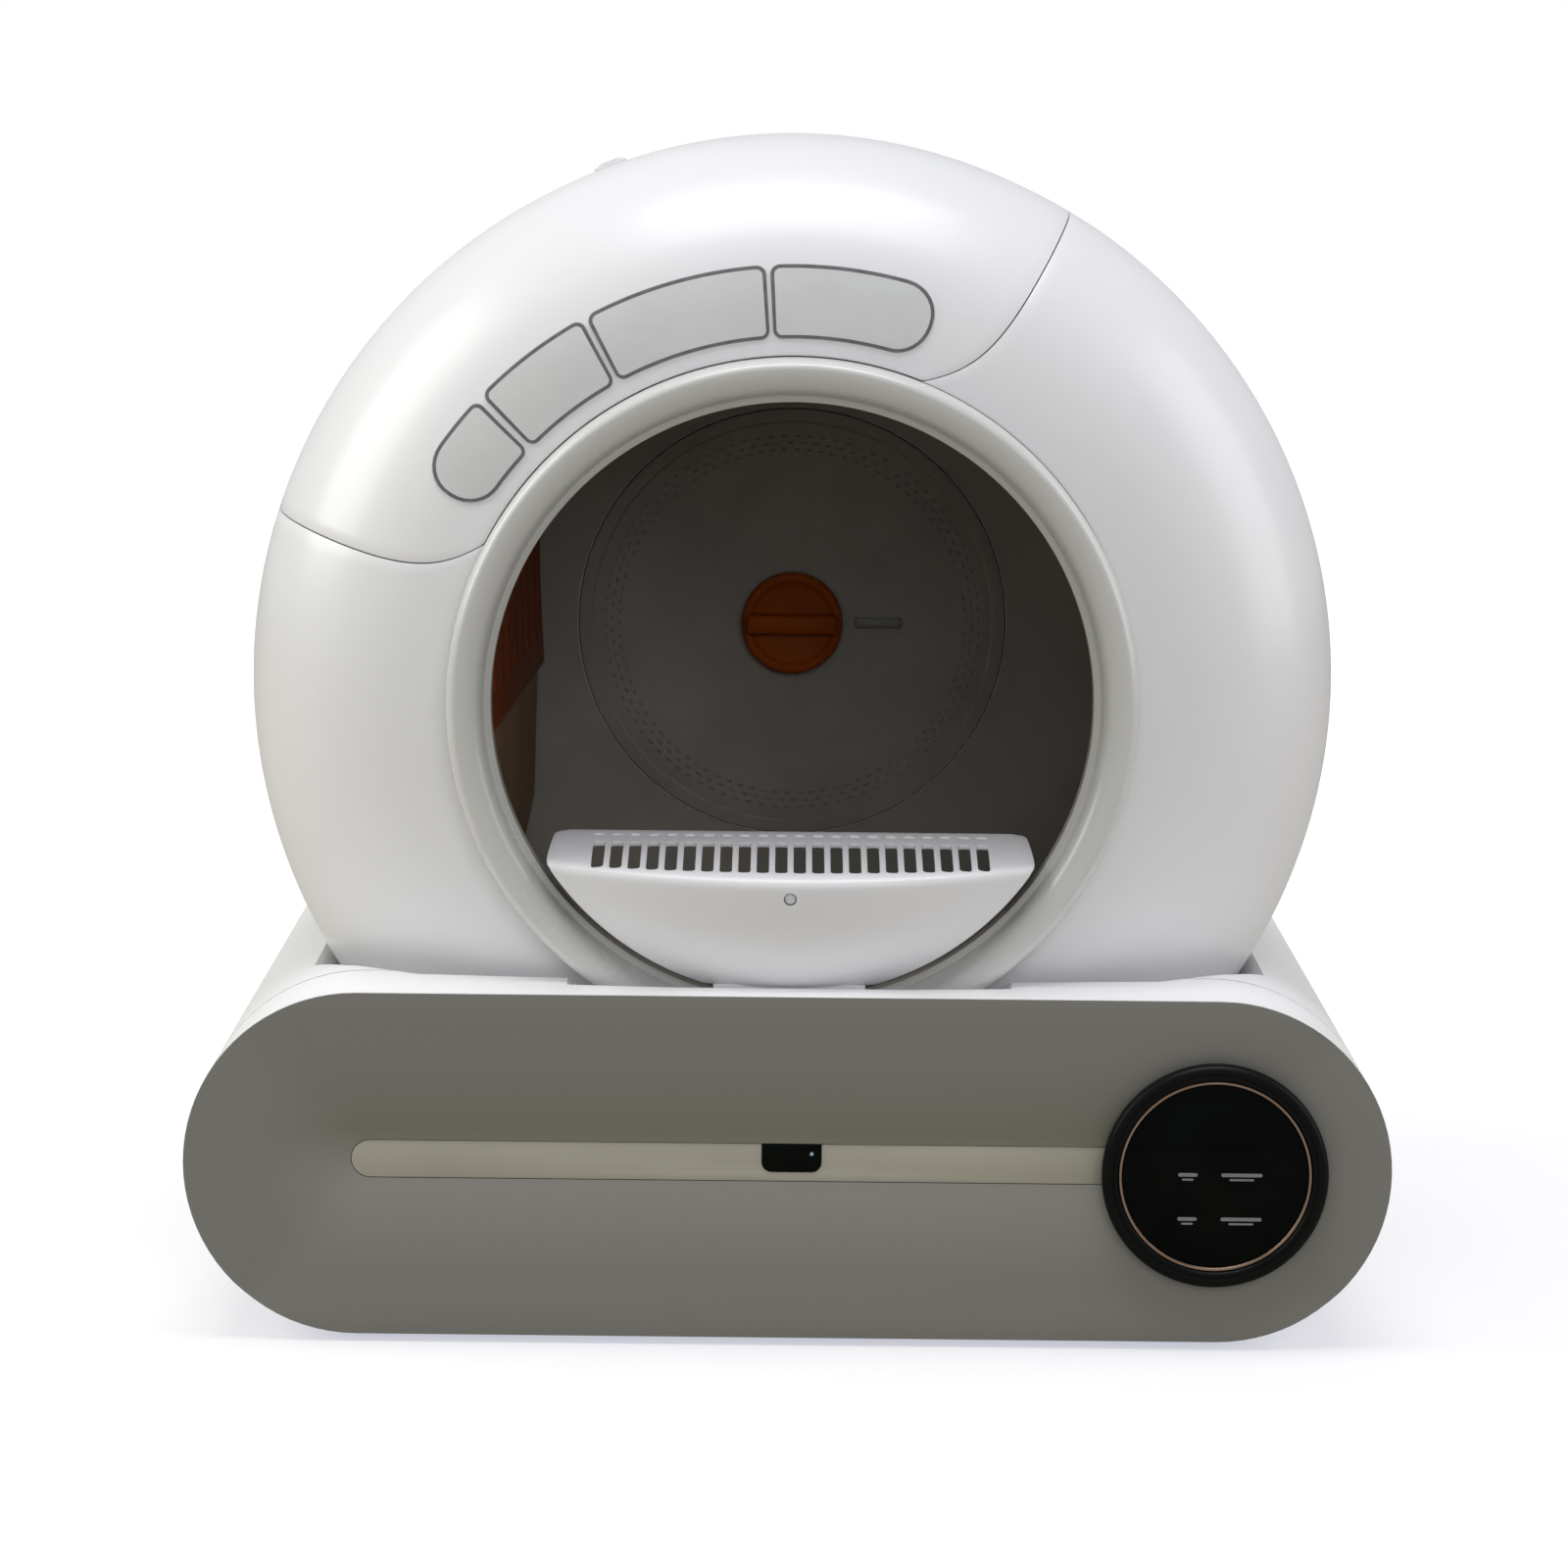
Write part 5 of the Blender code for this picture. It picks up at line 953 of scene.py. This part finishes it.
class LITTERBOX_OT_step(LitterBoxPart, bpy.types.Operator):
    """Build the slotted step plate inside the ring"""
    bl_idname = "litter_box.step"
    bl_label = "Step plate"

    # shares of the wall and of the ledge that the rounded nose takes over
    wall_share = 0.9
    ledge_share = 0.14
    # share of the ledge over which its rear corners are rounded, and how far they draw in
    corner_share = 0.14
    corner = 0.007

    def half(self, z, s):
        """Half of the plate's width at a height."""
        return math.sqrt(s.radius ** 2 - (AXIS_Z - z) ** 2)

    def wall_point(self, across, share, s):
        z = s.low + (s.high - s.low) * share
        bulge = s.low_bulge + (s.top_bulge - s.low_bulge) * math.sin(share * math.pi / 2)
        drop = s.sag * (1 - across * across) * share
        return Vector((self.half(z, s) * across, s.side - bulge * (1 - across * across), z - drop))

    def ledge_point(self, across, share, s):
        nose = self.half(s.high, s)
        half = nose + (s.half - nose) * share * share
        last = (share - (1 - self.corner_share)) / self.corner_share
        if last > 0:
            half -= self.corner * (1 - math.sqrt(max(0.0, 1 - last ** 2)))
        back = s.side + (s.rear - s.side) * share - s.top_bulge * (1 - share) * (1 - across * across)
        drop = s.sag * (1 - across * across) * (1 - share)
        return Vector((half * across, back, s.high + s.rise * share - drop))

    def surface(self, across, along, s):
        """A point of the plate: along runs from the wall's foot, round the nose, to the ledge's rear."""
        turn, over = 0.45, 0.60
        if along < turn:
            return self.wall_point(across, self.wall_share * along / turn, s)
        if along > over:
            rest = (along - over) / (1 - over)
            return self.ledge_point(across, self.ledge_share + (1 - self.ledge_share) * rest, s)
        t = (along - turn) / (over - turn)
        first = self.wall_point(across, self.wall_share, s)
        corner = self.wall_point(across, 1.0, s)
        last = self.ledge_point(across, self.ledge_share, s)
        return first * (1 - t) ** 2 + corner * 2 * t * (1 - t) + last * t * t

    def make(self, box):
        s = box.step
        bm = bmesh.new()
        bmesh.ops.create_grid(bm, x_segments=60, y_segments=48, size=1.0)
        for vert in bm.verts:
            point = self.surface(vert.co.x, (vert.co.y + 1) / 2, s)
            vert.co = (point.x, depth(point.y), point.z)
        bmesh.ops.recalc_face_normals(bm, faces=bm.faces)
        item = raw("step_plate_sheet", bm)
        foot = min(item.data.polygons, key=lambda p: p.center.z)
        thickened(item, s.sheet, -1.0 if foot.normal.y < 0 else 1.0)
        x, z, radius = middle_of("step_sensor")
        front = s.side - s.top_bulge
        seat = plug(radius + 0.0002, front - PAST, front + PAST, 32, x, z)
        cut(item, self.slots(s), seat)
        piece(rounded(item, 0.0004, 2, 40.0), "shell_white", "drawer", ["step_plate"])
        wide, front, rear = 0.038, 0.0313, 0.0343
        stem = block((-wide, front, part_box("step_plate")[0][2]), (wide, rear, s.low + 0.0004), 0.0006)
        piece(raw("step_stem", stem), "shell_white", "drawer")
        self.sensor()

    def slots(self, s):
        """Rounded slots through the ledge, with a shallow mark behind each."""
        tool = bmesh.new()
        nose = self.half(s.high, s)
        foot, top = 0.225, 0.262
        for number in range(s.slots):
            x = (number - (s.slots - 1) / 2) * s.pitch
            bend = s.top_bulge * (x / nose) ** 2
            slot = (0.0205 + bend * 0.72, 0.067 + bend * 0.05, foot, 0.0062)
            mark = (0.0735, 0.0795, s.high + 0.0086, 0.0056)
            for front, rear, low, width in (slot, mark):
                verts = add_box(tool, (x, depth((front + rear) / 2), (low + top) / 2),
                                (width, rear - front, top - low))
                bevelled(tool, long_edges(verts, 2, 0.004), width * 0.3, 3)
        return raw("slots", tool)

    def sensor(self):
        x, z, radius = middle_of("step_sensor")
        front, rear = depths("step_sensor")
        profile = [(0.0, front), (radius * 0.5, front + 0.0002), (radius * 0.85, front + 0.0008),
                   (radius, front + 0.0018), (radius, rear), (0.0, rear)]
        piece(raw("sensor_dome", spun(profile, 32, x=x, z=z)), "lens_clear", "drawer",
              ["step_sensor"])


def room(wall):
    """The space that the drum turns in, made wider all round by a wall."""
    s = settings().base
    shoulder = ((s.notch, 0.050), (0.234, 0.057), (0.267, 0.086), (s.trough, 0.112))
    points = [(0.0, s.stem_front - wall), (s.stem + wall, s.stem_front - wall),
              (s.notch + wall, s.notch_front - wall)]
    points += [(radius + wall, back - wall) for radius, back in shoulder]
    points += [(s.trough + wall, s.trough_rear + wall), (0.0, s.trough_rear + wall)]
    return raw("room", spun(points, 160))


class LITTERBOX_OT_base(LitterBoxPart, bpy.types.Operator):
    """Build the white base with its trough, and the floor pan"""
    bl_idname = "litter_box.base"
    bl_label = "Base"

    seam = 0.0003

    def make(self, box):
        s = box.base
        front, rear = depths("base_body")
        body = self.shell("base_shell", stadium(low=PAN_TOP + self.seam), front, rear, s)
        core = raw("core", prism(stadium(s.wall), front - PAST, rear - s.wall))
        cut(core, room(s.wall))
        cut(body, core, room(0.0), self.chute())
        piece(tidied(body), "base_white", "base", ["base_body"], 30.0)
        pan = self.shell("floor_pan", stadium(high=PAN_TOP), front, rear, s)
        cut(pan, raw("core", prism(stadium(s.wall), front - PAST, rear - s.wall)))
        piece(tidied(pan), "base_white", "base", ["base_pan"], 30.0)

    def shell(self, name, outline, front, rear, s):
        """A solid whose rear edge is rounded, but for the level part of it at the pan's top."""
        bm = prism(outline, front, rear)
        edges = [e for e in edges_at(bm, rear)
                 if any(abs(v.co.z - PAN_TOP) > self.seam + TINY for v in e.verts)]
        return raw(name, bevelled(bm, edges, s.edge, 4))

    def chute(self):
        """The hole in the trough that the waste falls through."""
        bm = bmesh.new()
        add_box(bm, (0.286, depth(0.3475), 0.0), (0.022, 0.095, 0.064))
        return raw("chute", placed_round(bm, 229.0))


class LITTERBOX_OT_column(LitterBoxPart, bpy.types.Operator):
    """Build the rear column and its vented cover"""
    bl_idname = "litter_box.column"
    bl_label = "Rear column"

    def outline(self, half, foot):
        """A column with a half round top on the drum's axis."""
        return [(-half, foot), (half, foot)] + arc((0.0, AXIS_Z), (half, half), 0.0, 180.0, 40)

    def make(self, box):
        low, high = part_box("rear_column")
        front, rear = depths("rear_column")
        wall, edge = 0.003, 0.003
        outer = self.outline(high[0], low[2])
        bm = prism(outer, front, rear)
        column = raw("column_shell", bevelled(bm, edges_at(bm, front), edge, 4))
        inner = self.outline(high[0] - wall, low[2] + wall)
        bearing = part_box("shaft_bearing")[1][0] + 0.0003
        hole = plug(bearing, front - PAST, front + 2 * PAST, 48)
        cut(column, raw("inside", prism(inner, front + wall, rear + 2 * PAST)), hole)
        piece(column, "base_white", "base", ["rear_column"], 30.0)
        self.cover(outer)

    def cover(self, outer):
        """The rear plate with its vents, screw seats and power inlet."""
        front, rear = depths("rear_cover")
        edge, half, tall, pitch, height = 0.0012, 0.035, 0.0015, 0.012, 0.245
        bm = prism(outer, front, rear)
        item = raw("column_cover", bevelled(bm, edges_at(bm, rear), edge, 3))
        tools = []
        for number in range(5):
            z = height + (number - 2) * pitch
            slot = block((-half, front - PAST, z - tall), (half, rear + PAST, z + tall), edge, 3)
            tools.append(raw("vent", slot))
        for number in range(1, 5):
            screw = f"rear_cover_screw_{number}"
            x, z, radius = middle_of(screw)
            tools.append(plug(radius + 0.0004, depths(screw)[1] - 0.0013, rear + PAST, 32, x, z))
        x, z, _ = middle_of("power_inlet")
        nose = 0.0063
        tools.append(raw("inlet", block((x - nose, front - PAST, z - nose), (x + nose, rear + PAST, z + nose),
                                        0.001)))
        cut(item, *tools)
        piece(item, "base_white", "base", ["rear_cover"], 30.0)


class LITTERBOX_OT_drawer(LitterBoxPart, bpy.types.Operator):
    """Build the drawer's white front box"""
    bl_idname = "litter_box.drawer"
    bl_label = "Drawer"

    def make(self, box):
        s = box.base
        front, rear = depths("drawer_front")
        plug_end, core_front = box.front.plug + 0.0003, box.front.plug + 0.0033
        item = raw("drawer_box", prism(stadium(), front, rear))
        seat = raw("seat", prism(stadium(s.wall), front - PAST, plug_end))
        core = raw("core", prism(stadium(s.wall), core_front, rear + PAST))
        cut(core, room(s.wall))
        cut(item, seat, core, room(0.0))
        piece(tidied(item), "base_white", "drawer", ["drawer_front"], 30.0)


def hollow(x, z, s):
    """Depth of the front panel's hollow at a point: a valley along the strip that fades at its ends."""
    right_end = 0.215
    up = 1.0 - abs(z - MIDDLE_Z) / s.valley_half
    left = 1.0 - max(0.0, (s.strip_left + 0.004) - x) / s.valley_fade
    right = 1.0 - max(0.0, x - right_end) / s.valley_fade
    return s.valley * max(0.0, min(up, left, right))


class LITTERBOX_OT_panel(LitterBoxPart, bpy.types.Operator):
    """Build the grey front panel, the light strip and the status window"""
    bl_idname = "litter_box.panel"
    bl_label = "Front panel and lights"

    grid = 0.006

    def make(self, box):
        s = box.front
        bm = bmesh.new()
        bm.faces.new([bm.verts.new((x, depth(0.0), z)) for x, z in stadium(cuts=40)])
        sliced(bm, 0, [number * self.grid for number in range(-48, 49)])
        sliced(bm, 2, [MIDDLE_Z + number * self.grid for number in range(-14, 15)])
        # the rim turns back into a lip, a shoulder and a plug, and the plug's end is closed
        verts, loop = self.next_loop(bm, [e for e in bm.edges if len(e.link_faces) == 1])
        bmesh.ops.translate(bm, vec=(0, s.lip, 0), verts=verts)
        verts, loop = self.next_loop(bm, loop)
        self.draw_in(verts, s.inset)
        verts, loop = self.next_loop(bm, loop)
        bmesh.ops.translate(bm, vec=(0, s.plug - s.lip, 0), verts=verts)
        bmesh.ops.contextual_create(bm, geom=loop)
        for vert in bm.verts:
            if abs(vert.co.y - depth(0.0)) < TINY:
                vert.co.y += hollow(vert.co.x, vert.co.z, s)
        bmesh.ops.recalc_face_normals(bm, faces=bm.faces)
        item = raw("front_panel", bm)
        disc = box.disc
        hole = plug(disc.neck + 0.0004, -2 * PAST, 3 * PAST, 96, disc.x, disc.z)
        groove = raw("groove", prism(self.strip(s, 0.0003), -PAST, s.plug + PAST))
        cut(item, groove, hole)
        piece(item, "panel_grey", "drawer", ["fascia_panel"], 30.0)
        self.lights(s)

    def next_loop(self, bm, loop):
        """Extrude an open loop of edges: the new points, and the new loop."""
        made = bmesh.ops.extrude_edge_only(bm, edges=loop)["geom"]
        verts = [item for item in made if isinstance(item, bmesh.types.BMVert)]
        edges = [item for item in made if isinstance(item, bmesh.types.BMEdge)]
        return verts, [edge for edge in edges if len(edge.link_faces) == 1]

    def draw_in(self, verts, inset):
        """Move points inwards, square to the bar with round ends that they lie on."""
        for vert in verts:
            x = max(-END_X, min(END_X, vert.co.x))
            away = Vector((vert.co.x - x, 0.0, vert.co.z - MIDDLE_Z))
            vert.co = Vector((x, vert.co.y, MIDDLE_Z)) + away * (1 - inset / away.length)

    def strip(self, s, gap):
        """Outline of the light strip: its left end is round, its right end lies under the disc."""
        radius = s.strip_half + gap
        points = arc((s.strip_left + s.strip_half, s.strip_z), (radius, radius), 90.0, 270.0, 20)
        right = s.strip_right + gap
        return points + [(right, s.strip_z - radius), (right, s.strip_z + radius)]

    def window(self, s, gap):
        """Outline of the status window, with round lower corners."""
        left, right = s.window_x - s.window_half - gap, s.window_x + s.window_half + gap
        low, top = s.window_low - gap, s.strip_z + s.strip_half + gap
        corner = 0.005
        points = [(right, top), (left, top)]
        points += arc((left + corner, low + corner), (corner, corner), 180.0, 270.0, 8)
        return points + arc((right - corner, low + corner), (corner, corner), 270.0, 360.0, 8)

    def lights(self, s):
        """The strip's diffuser, the status window in it and the window's lamp."""
        item = raw("strip_lens", prism(self.strip(s, 0.0), s.strip_front, s.strip_back))
        cut(item, raw("window", prism(self.window(s, 0.0003), 0.0, 2 * PAST)))
        rounded(item, 0.0004, 2, 50.0)
        piece(item, "strip_diffuser", "drawer", ["light_strip"])
        front = depths("status_window")[0]
        item = raw("status_glass", prism(self.window(s, 0.0), front, s.strip_back))
        x, z, radius = middle_of("status_led")
        cut(item, plug(radius + 0.0002, 0.0, 2 * PAST, 24, x, z))
        rounded(item, 0.0005, 3, 50.0)
        piece(item, "black_glass", "drawer", ["status_window"])
        dome = spun([(0.0, front - 0.0002), (radius * 0.6, front), (radius, front + 0.0006),
                     (radius, s.strip_back), (0.0, s.strip_back)], 24, x=x, z=z)
        piece(raw("status_dome", dome), "status_lamp", "drawer", ["status_led"])


class LITTERBOX_OT_disc(LitterBoxPart, bpy.types.Operator):
    """Build the round control disc with its copper ring, glass and touch marks"""
    bl_idname = "litter_box.disc"
    bl_label = "Control disc"

    def make(self, box):
        s = box.disc
        face = -s.proud
        floor = depths("control_bezel")[1]
        shelf = face + 0.0048
        rim = s.copper + 0.0003
        thin, roll, well, under = 0.0003, 0.0042, 0.004, 0.0025
        profile = [(0.0, floor), (s.neck - 0.0005, floor), (s.neck, floor - 0.0005), (s.neck, -thin),
                   (s.radius - 0.0008, -thin), (s.radius, -0.0011)]
        profile += arc((s.radius - roll, face + roll + thin), (roll, roll), 0.0, -90.0, 8)
        profile += [(s.radius - 0.0050, face + 0.0008), (s.radius - 0.0054, face + 0.0008),
                    (s.radius - 0.0058, face + thin), (rim + 0.0006, face + thin), (rim, face + 0.0010),
                    (rim, shelf), (rim - well, shelf), (rim - well, floor - under), (0.0, floor - under)]
        bezel = raw("disc_bezel", spun(profile, 128, x=s.x, z=s.z))
        piece(bezel, "satin_black", "drawer", ["control_bezel"])
        front = face + 0.003
        back, edge = front + 0.0012, front - 0.0004
        inner = s.copper - s.copper_width
        trim = [(inner, back), (inner, front), (inner + thin, edge), (s.copper - thin, edge),
                (s.copper, front), (s.copper, back)]
        piece(raw("copper_trim_ring", spun(trim, 128, closed=True, x=s.x, z=s.z)), "copper_metal", "drawer",
              ["copper_ring"])
        glass = [(0.0, front), (inner - 0.0009, front), (inner - thin, front + 0.0004),
                 (inner - thin, front + 0.0015), (0.0, front + 0.0015)]
        piece(raw("disc_glass", spun(glass, 128, x=s.x, z=s.z)), "black_glass", "drawer",
              ["control_glass"])
        self.marks(s, front)

    def marks(self, s, front):
        """Four plain touch marks, each a short bar over a thinner one."""
        thick, lift = 0.0001, 0.00007
        left, right, low, high = -0.0137, 0.0131, -0.0215, 0.0008
        short, long = 0.0048, 0.0102
        bm = bmesh.new()
        for x, z, half in ((left, high, short), (right, high, long), (left, low, short), (right, low, long)):
            for drop, length, tall in ((0.0, half, 0.0009), (0.0024, half * 0.6, 0.0005)):
                verts = add_box(bm, (s.x + x, depth(front - lift), s.z + z - drop),
                                (2 * length, thick, 2 * tall))
                bevelled(bm, long_edges(verts, 1, thick / 2), tall * 0.9, 3)
        piece(raw("touch_marks", bm), "key_mark", "drawer")


CARRIED = {
    "foot_rubber": ["foot_front_left", "foot_front_right", "foot_rear_left", "foot_rear_right",
                    "support_roller_left", "support_roller_right"],
    "tub_dark": ["runner_left", "runner_right", "roller_bracket_left", "roller_bracket_right", "drum_hub"],
    "shell_white": ["cover_lock"],
    "satin_black": ["base_contact", "drawer_contact", "gearbox", "power_inlet", "home_sensor"],
    "plain_steel": ["pan_screw_1", "pan_screw_2", "pan_screw_3", "pan_screw_4", "rear_cover_screw_1",
                    "rear_cover_screw_2", "rear_cover_screw_3", "rear_cover_screw_4", "roller_axle_left",
                    "roller_axle_right", "shaft_bearing", "motor", "drive_hub", "home_magnet",
                    "output_shaft"],
    "circuit_board": ["main_board", "led_board", "control_board"],
}


class LITTERBOX_OT_carried(LitterBoxPart, bpy.types.Operator):
    """Give the frame's own solids their finishes"""
    bl_idname = "litter_box.carried"
    bl_label = "Inner parts"

    def make(self, box):
        for finish, names in CARRIED.items():
            for name in names:
                slots = NODES[name].material_slots
                if not slots:
                    NODES[name].data.materials.append(FINISHES[finish])
                for slot in slots:
                    slot.material = FINISHES[finish]


def area_lamp(name, place, target, width, height, power, tone, mirrored=True):
    data = bpy.data.lights.new(name, "AREA")
    data.shape = "RECTANGLE"
    data.size = width
    data.size_y = height
    data.energy = power
    data.color = tone
    lamp = bpy.data.objects.new(name, data)
    lamp.visible_glossy = mirrored
    lamp.location = place
    lamp.rotation_euler = (Vector(target) - Vector(place)).to_track_quat("-Z", "Y").to_euler()
    bpy.context.scene.collection.objects.link(lamp)


class LITTERBOX_OT_stage(LitterBoxPart, bpy.types.Operator):
    """Set the camera, the soft studio light and the pale floor"""
    bl_idname = "litter_box.stage"
    bl_label = "Stage"

    def make(self, box):
        s = box.stage
        data = bpy.data.cameras.new("camera")
        data.lens = s.lens
        data.sensor_width = 36.0
        data.clip_end = 50.0
        camera = bpy.data.objects.new("camera", data)
        turn = Matrix.Rotation(math.radians(90.0 - s.pitch), 4, "X")
        roll = Matrix.Rotation(math.radians(s.roll), 4, "Z")
        camera.matrix_world = Matrix.Translation(s.place) @ turn @ roll
        bpy.context.scene.collection.objects.link(camera)
        bpy.context.scene.camera = camera
        bpy.context.scene.view_settings.view_transform = "Standard"
        self.world(s)
        area_lamp("overhead", (0.0, -0.8, 7.0), (0.0, -0.1, 0.2), 5.0, 4.0, s.key, (0.96, 0.97, 1.0))
        area_lamp("front", (0.5, -3.8, 1.5), (0.0, 0.0, 0.3), 2.0, 1.4, s.front, (0.98, 0.98, 1.0),
                  mirrored=False)
        area_lamp("left", (-2.6, -0.2, 1.7), (0.0, 0.0, 0.3), 1.6, 2.0, s.left, (1.0, 0.99, 0.90))
        area_lamp("right", (2.6, -0.1, 1.3), (0.0, 0.0, 0.3), 1.6, 2.0, s.right, (0.99, 0.98, 1.0))
        self.floor()

    def world(self, s):
        """Even light from all round, and white where the camera or a reflection looks past everything."""
        world = bpy.data.worlds.new("studio")
        bpy.context.scene.world = world
        world.use_nodes = True
        tree = world.node_tree
        tree.nodes.clear()
        even = add_node(tree, "ShaderNodeBackground", Color=(0.96, 0.97, 1.0, 1.0), Strength=s.sky)
        white = add_node(tree, "ShaderNodeBackground", Color=(1.0, 1.0, 1.0, 1.0), Strength=1.0)
        ray = add_node(tree, "ShaderNodeLightPath")
        seen = Shade(tree, ray.outputs["Is Camera Ray"]) + Shade(tree, ray.outputs["Is Glossy Ray"]) * 0.3
        mix = add_node(tree, "ShaderNodeMixShader", Fac=seen.clamped())
        tree.links.new(even.outputs[0], mix.inputs[1])
        tree.links.new(white.outputs[0], mix.inputs[2])
        add_node(tree, "ShaderNodeOutputWorld", Surface=mix.outputs[0])

    def floor(self):
        """A pale floor that shows white to the camera, and less so round the object."""
        bm = bmesh.new()
        bmesh.ops.create_grid(bm, x_segments=1, y_segments=1, size=12.0)
        floor = raw("studio_floor", bm)
        finish = Finish("floor_pale", (0.42, 0.40, 0.34), 0.8)
        tree = finish.tree
        ray = finish.node("ShaderNodeLightPath")
        x, y = finish.axis("X"), finish.axis("Y")
        near, reach = 0.45, 1.6
        away = (((x * x + y * y) ** 0.5 - near) / reach).clamped()
        strength = (away * 0.40 + 0.62) * Shade(tree, ray.outputs["Is Camera Ray"])
        glow = finish.node("ShaderNodeEmission", Color=(0.86, 0.88, 1.0, 1.0), Strength=strength)
        both = finish.node("ShaderNodeAddShader")
        tree.links.new(finish.shader.outputs[0], both.inputs[0])
        tree.links.new(glow.outputs[0], both.inputs[1])
        out = next(n for n in tree.nodes if n.type == "OUTPUT_MATERIAL")
        tree.links.new(both.outputs[0], out.inputs["Surface"])
        floor.data.materials.append(finish.material)


OPERATORS = (LITTERBOX_OT_finishes, LITTERBOX_OT_stage, LITTERBOX_OT_drum, LITTERBOX_OT_cover,
             LITTERBOX_OT_labels, LITTERBOX_OT_ring, LITTERBOX_OT_back, LITTERBOX_OT_sieve, LITTERBOX_OT_step,
             LITTERBOX_OT_base, LITTERBOX_OT_column, LITTERBOX_OT_drawer, LITTERBOX_OT_panel,
             LITTERBOX_OT_disc, LITTERBOX_OT_carried)


class LITTERBOX_PT_panel(bpy.types.Panel):
    """Lists the steps that build the litter box"""
    bl_label = "Litter Box"
    bl_idname = "LITTERBOX_PT_panel"
    bl_space_type = "VIEW_3D"
    bl_region_type = "UI"
    bl_category = "Litter Box"

    def draw(self, context):
        for operator in OPERATORS:
            self.layout.operator(operator.bl_idname)


CLASSES = (DrumSizes, RingSizes, BaseSizes, FrontSizes, DiscSizes, StepSizes, FinishColours, StageSettings,
           LitterBoxSettings, *OPERATORS, LITTERBOX_PT_panel)


def register():
    for item in CLASSES:
        bpy.utils.register_class(item)
    bpy.types.Scene.litter_box = PointerProperty(type=LitterBoxSettings)


def unregister():
    del bpy.types.Scene.litter_box
    for item in reversed(CLASSES):
        bpy.utils.unregister_class(item)


def main():
    register()
    for operator in OPERATORS:
        group, name = operator.bl_idname.split(".")
        getattr(getattr(bpy.ops, group), name)()


if __name__ == "__main__":
    main()
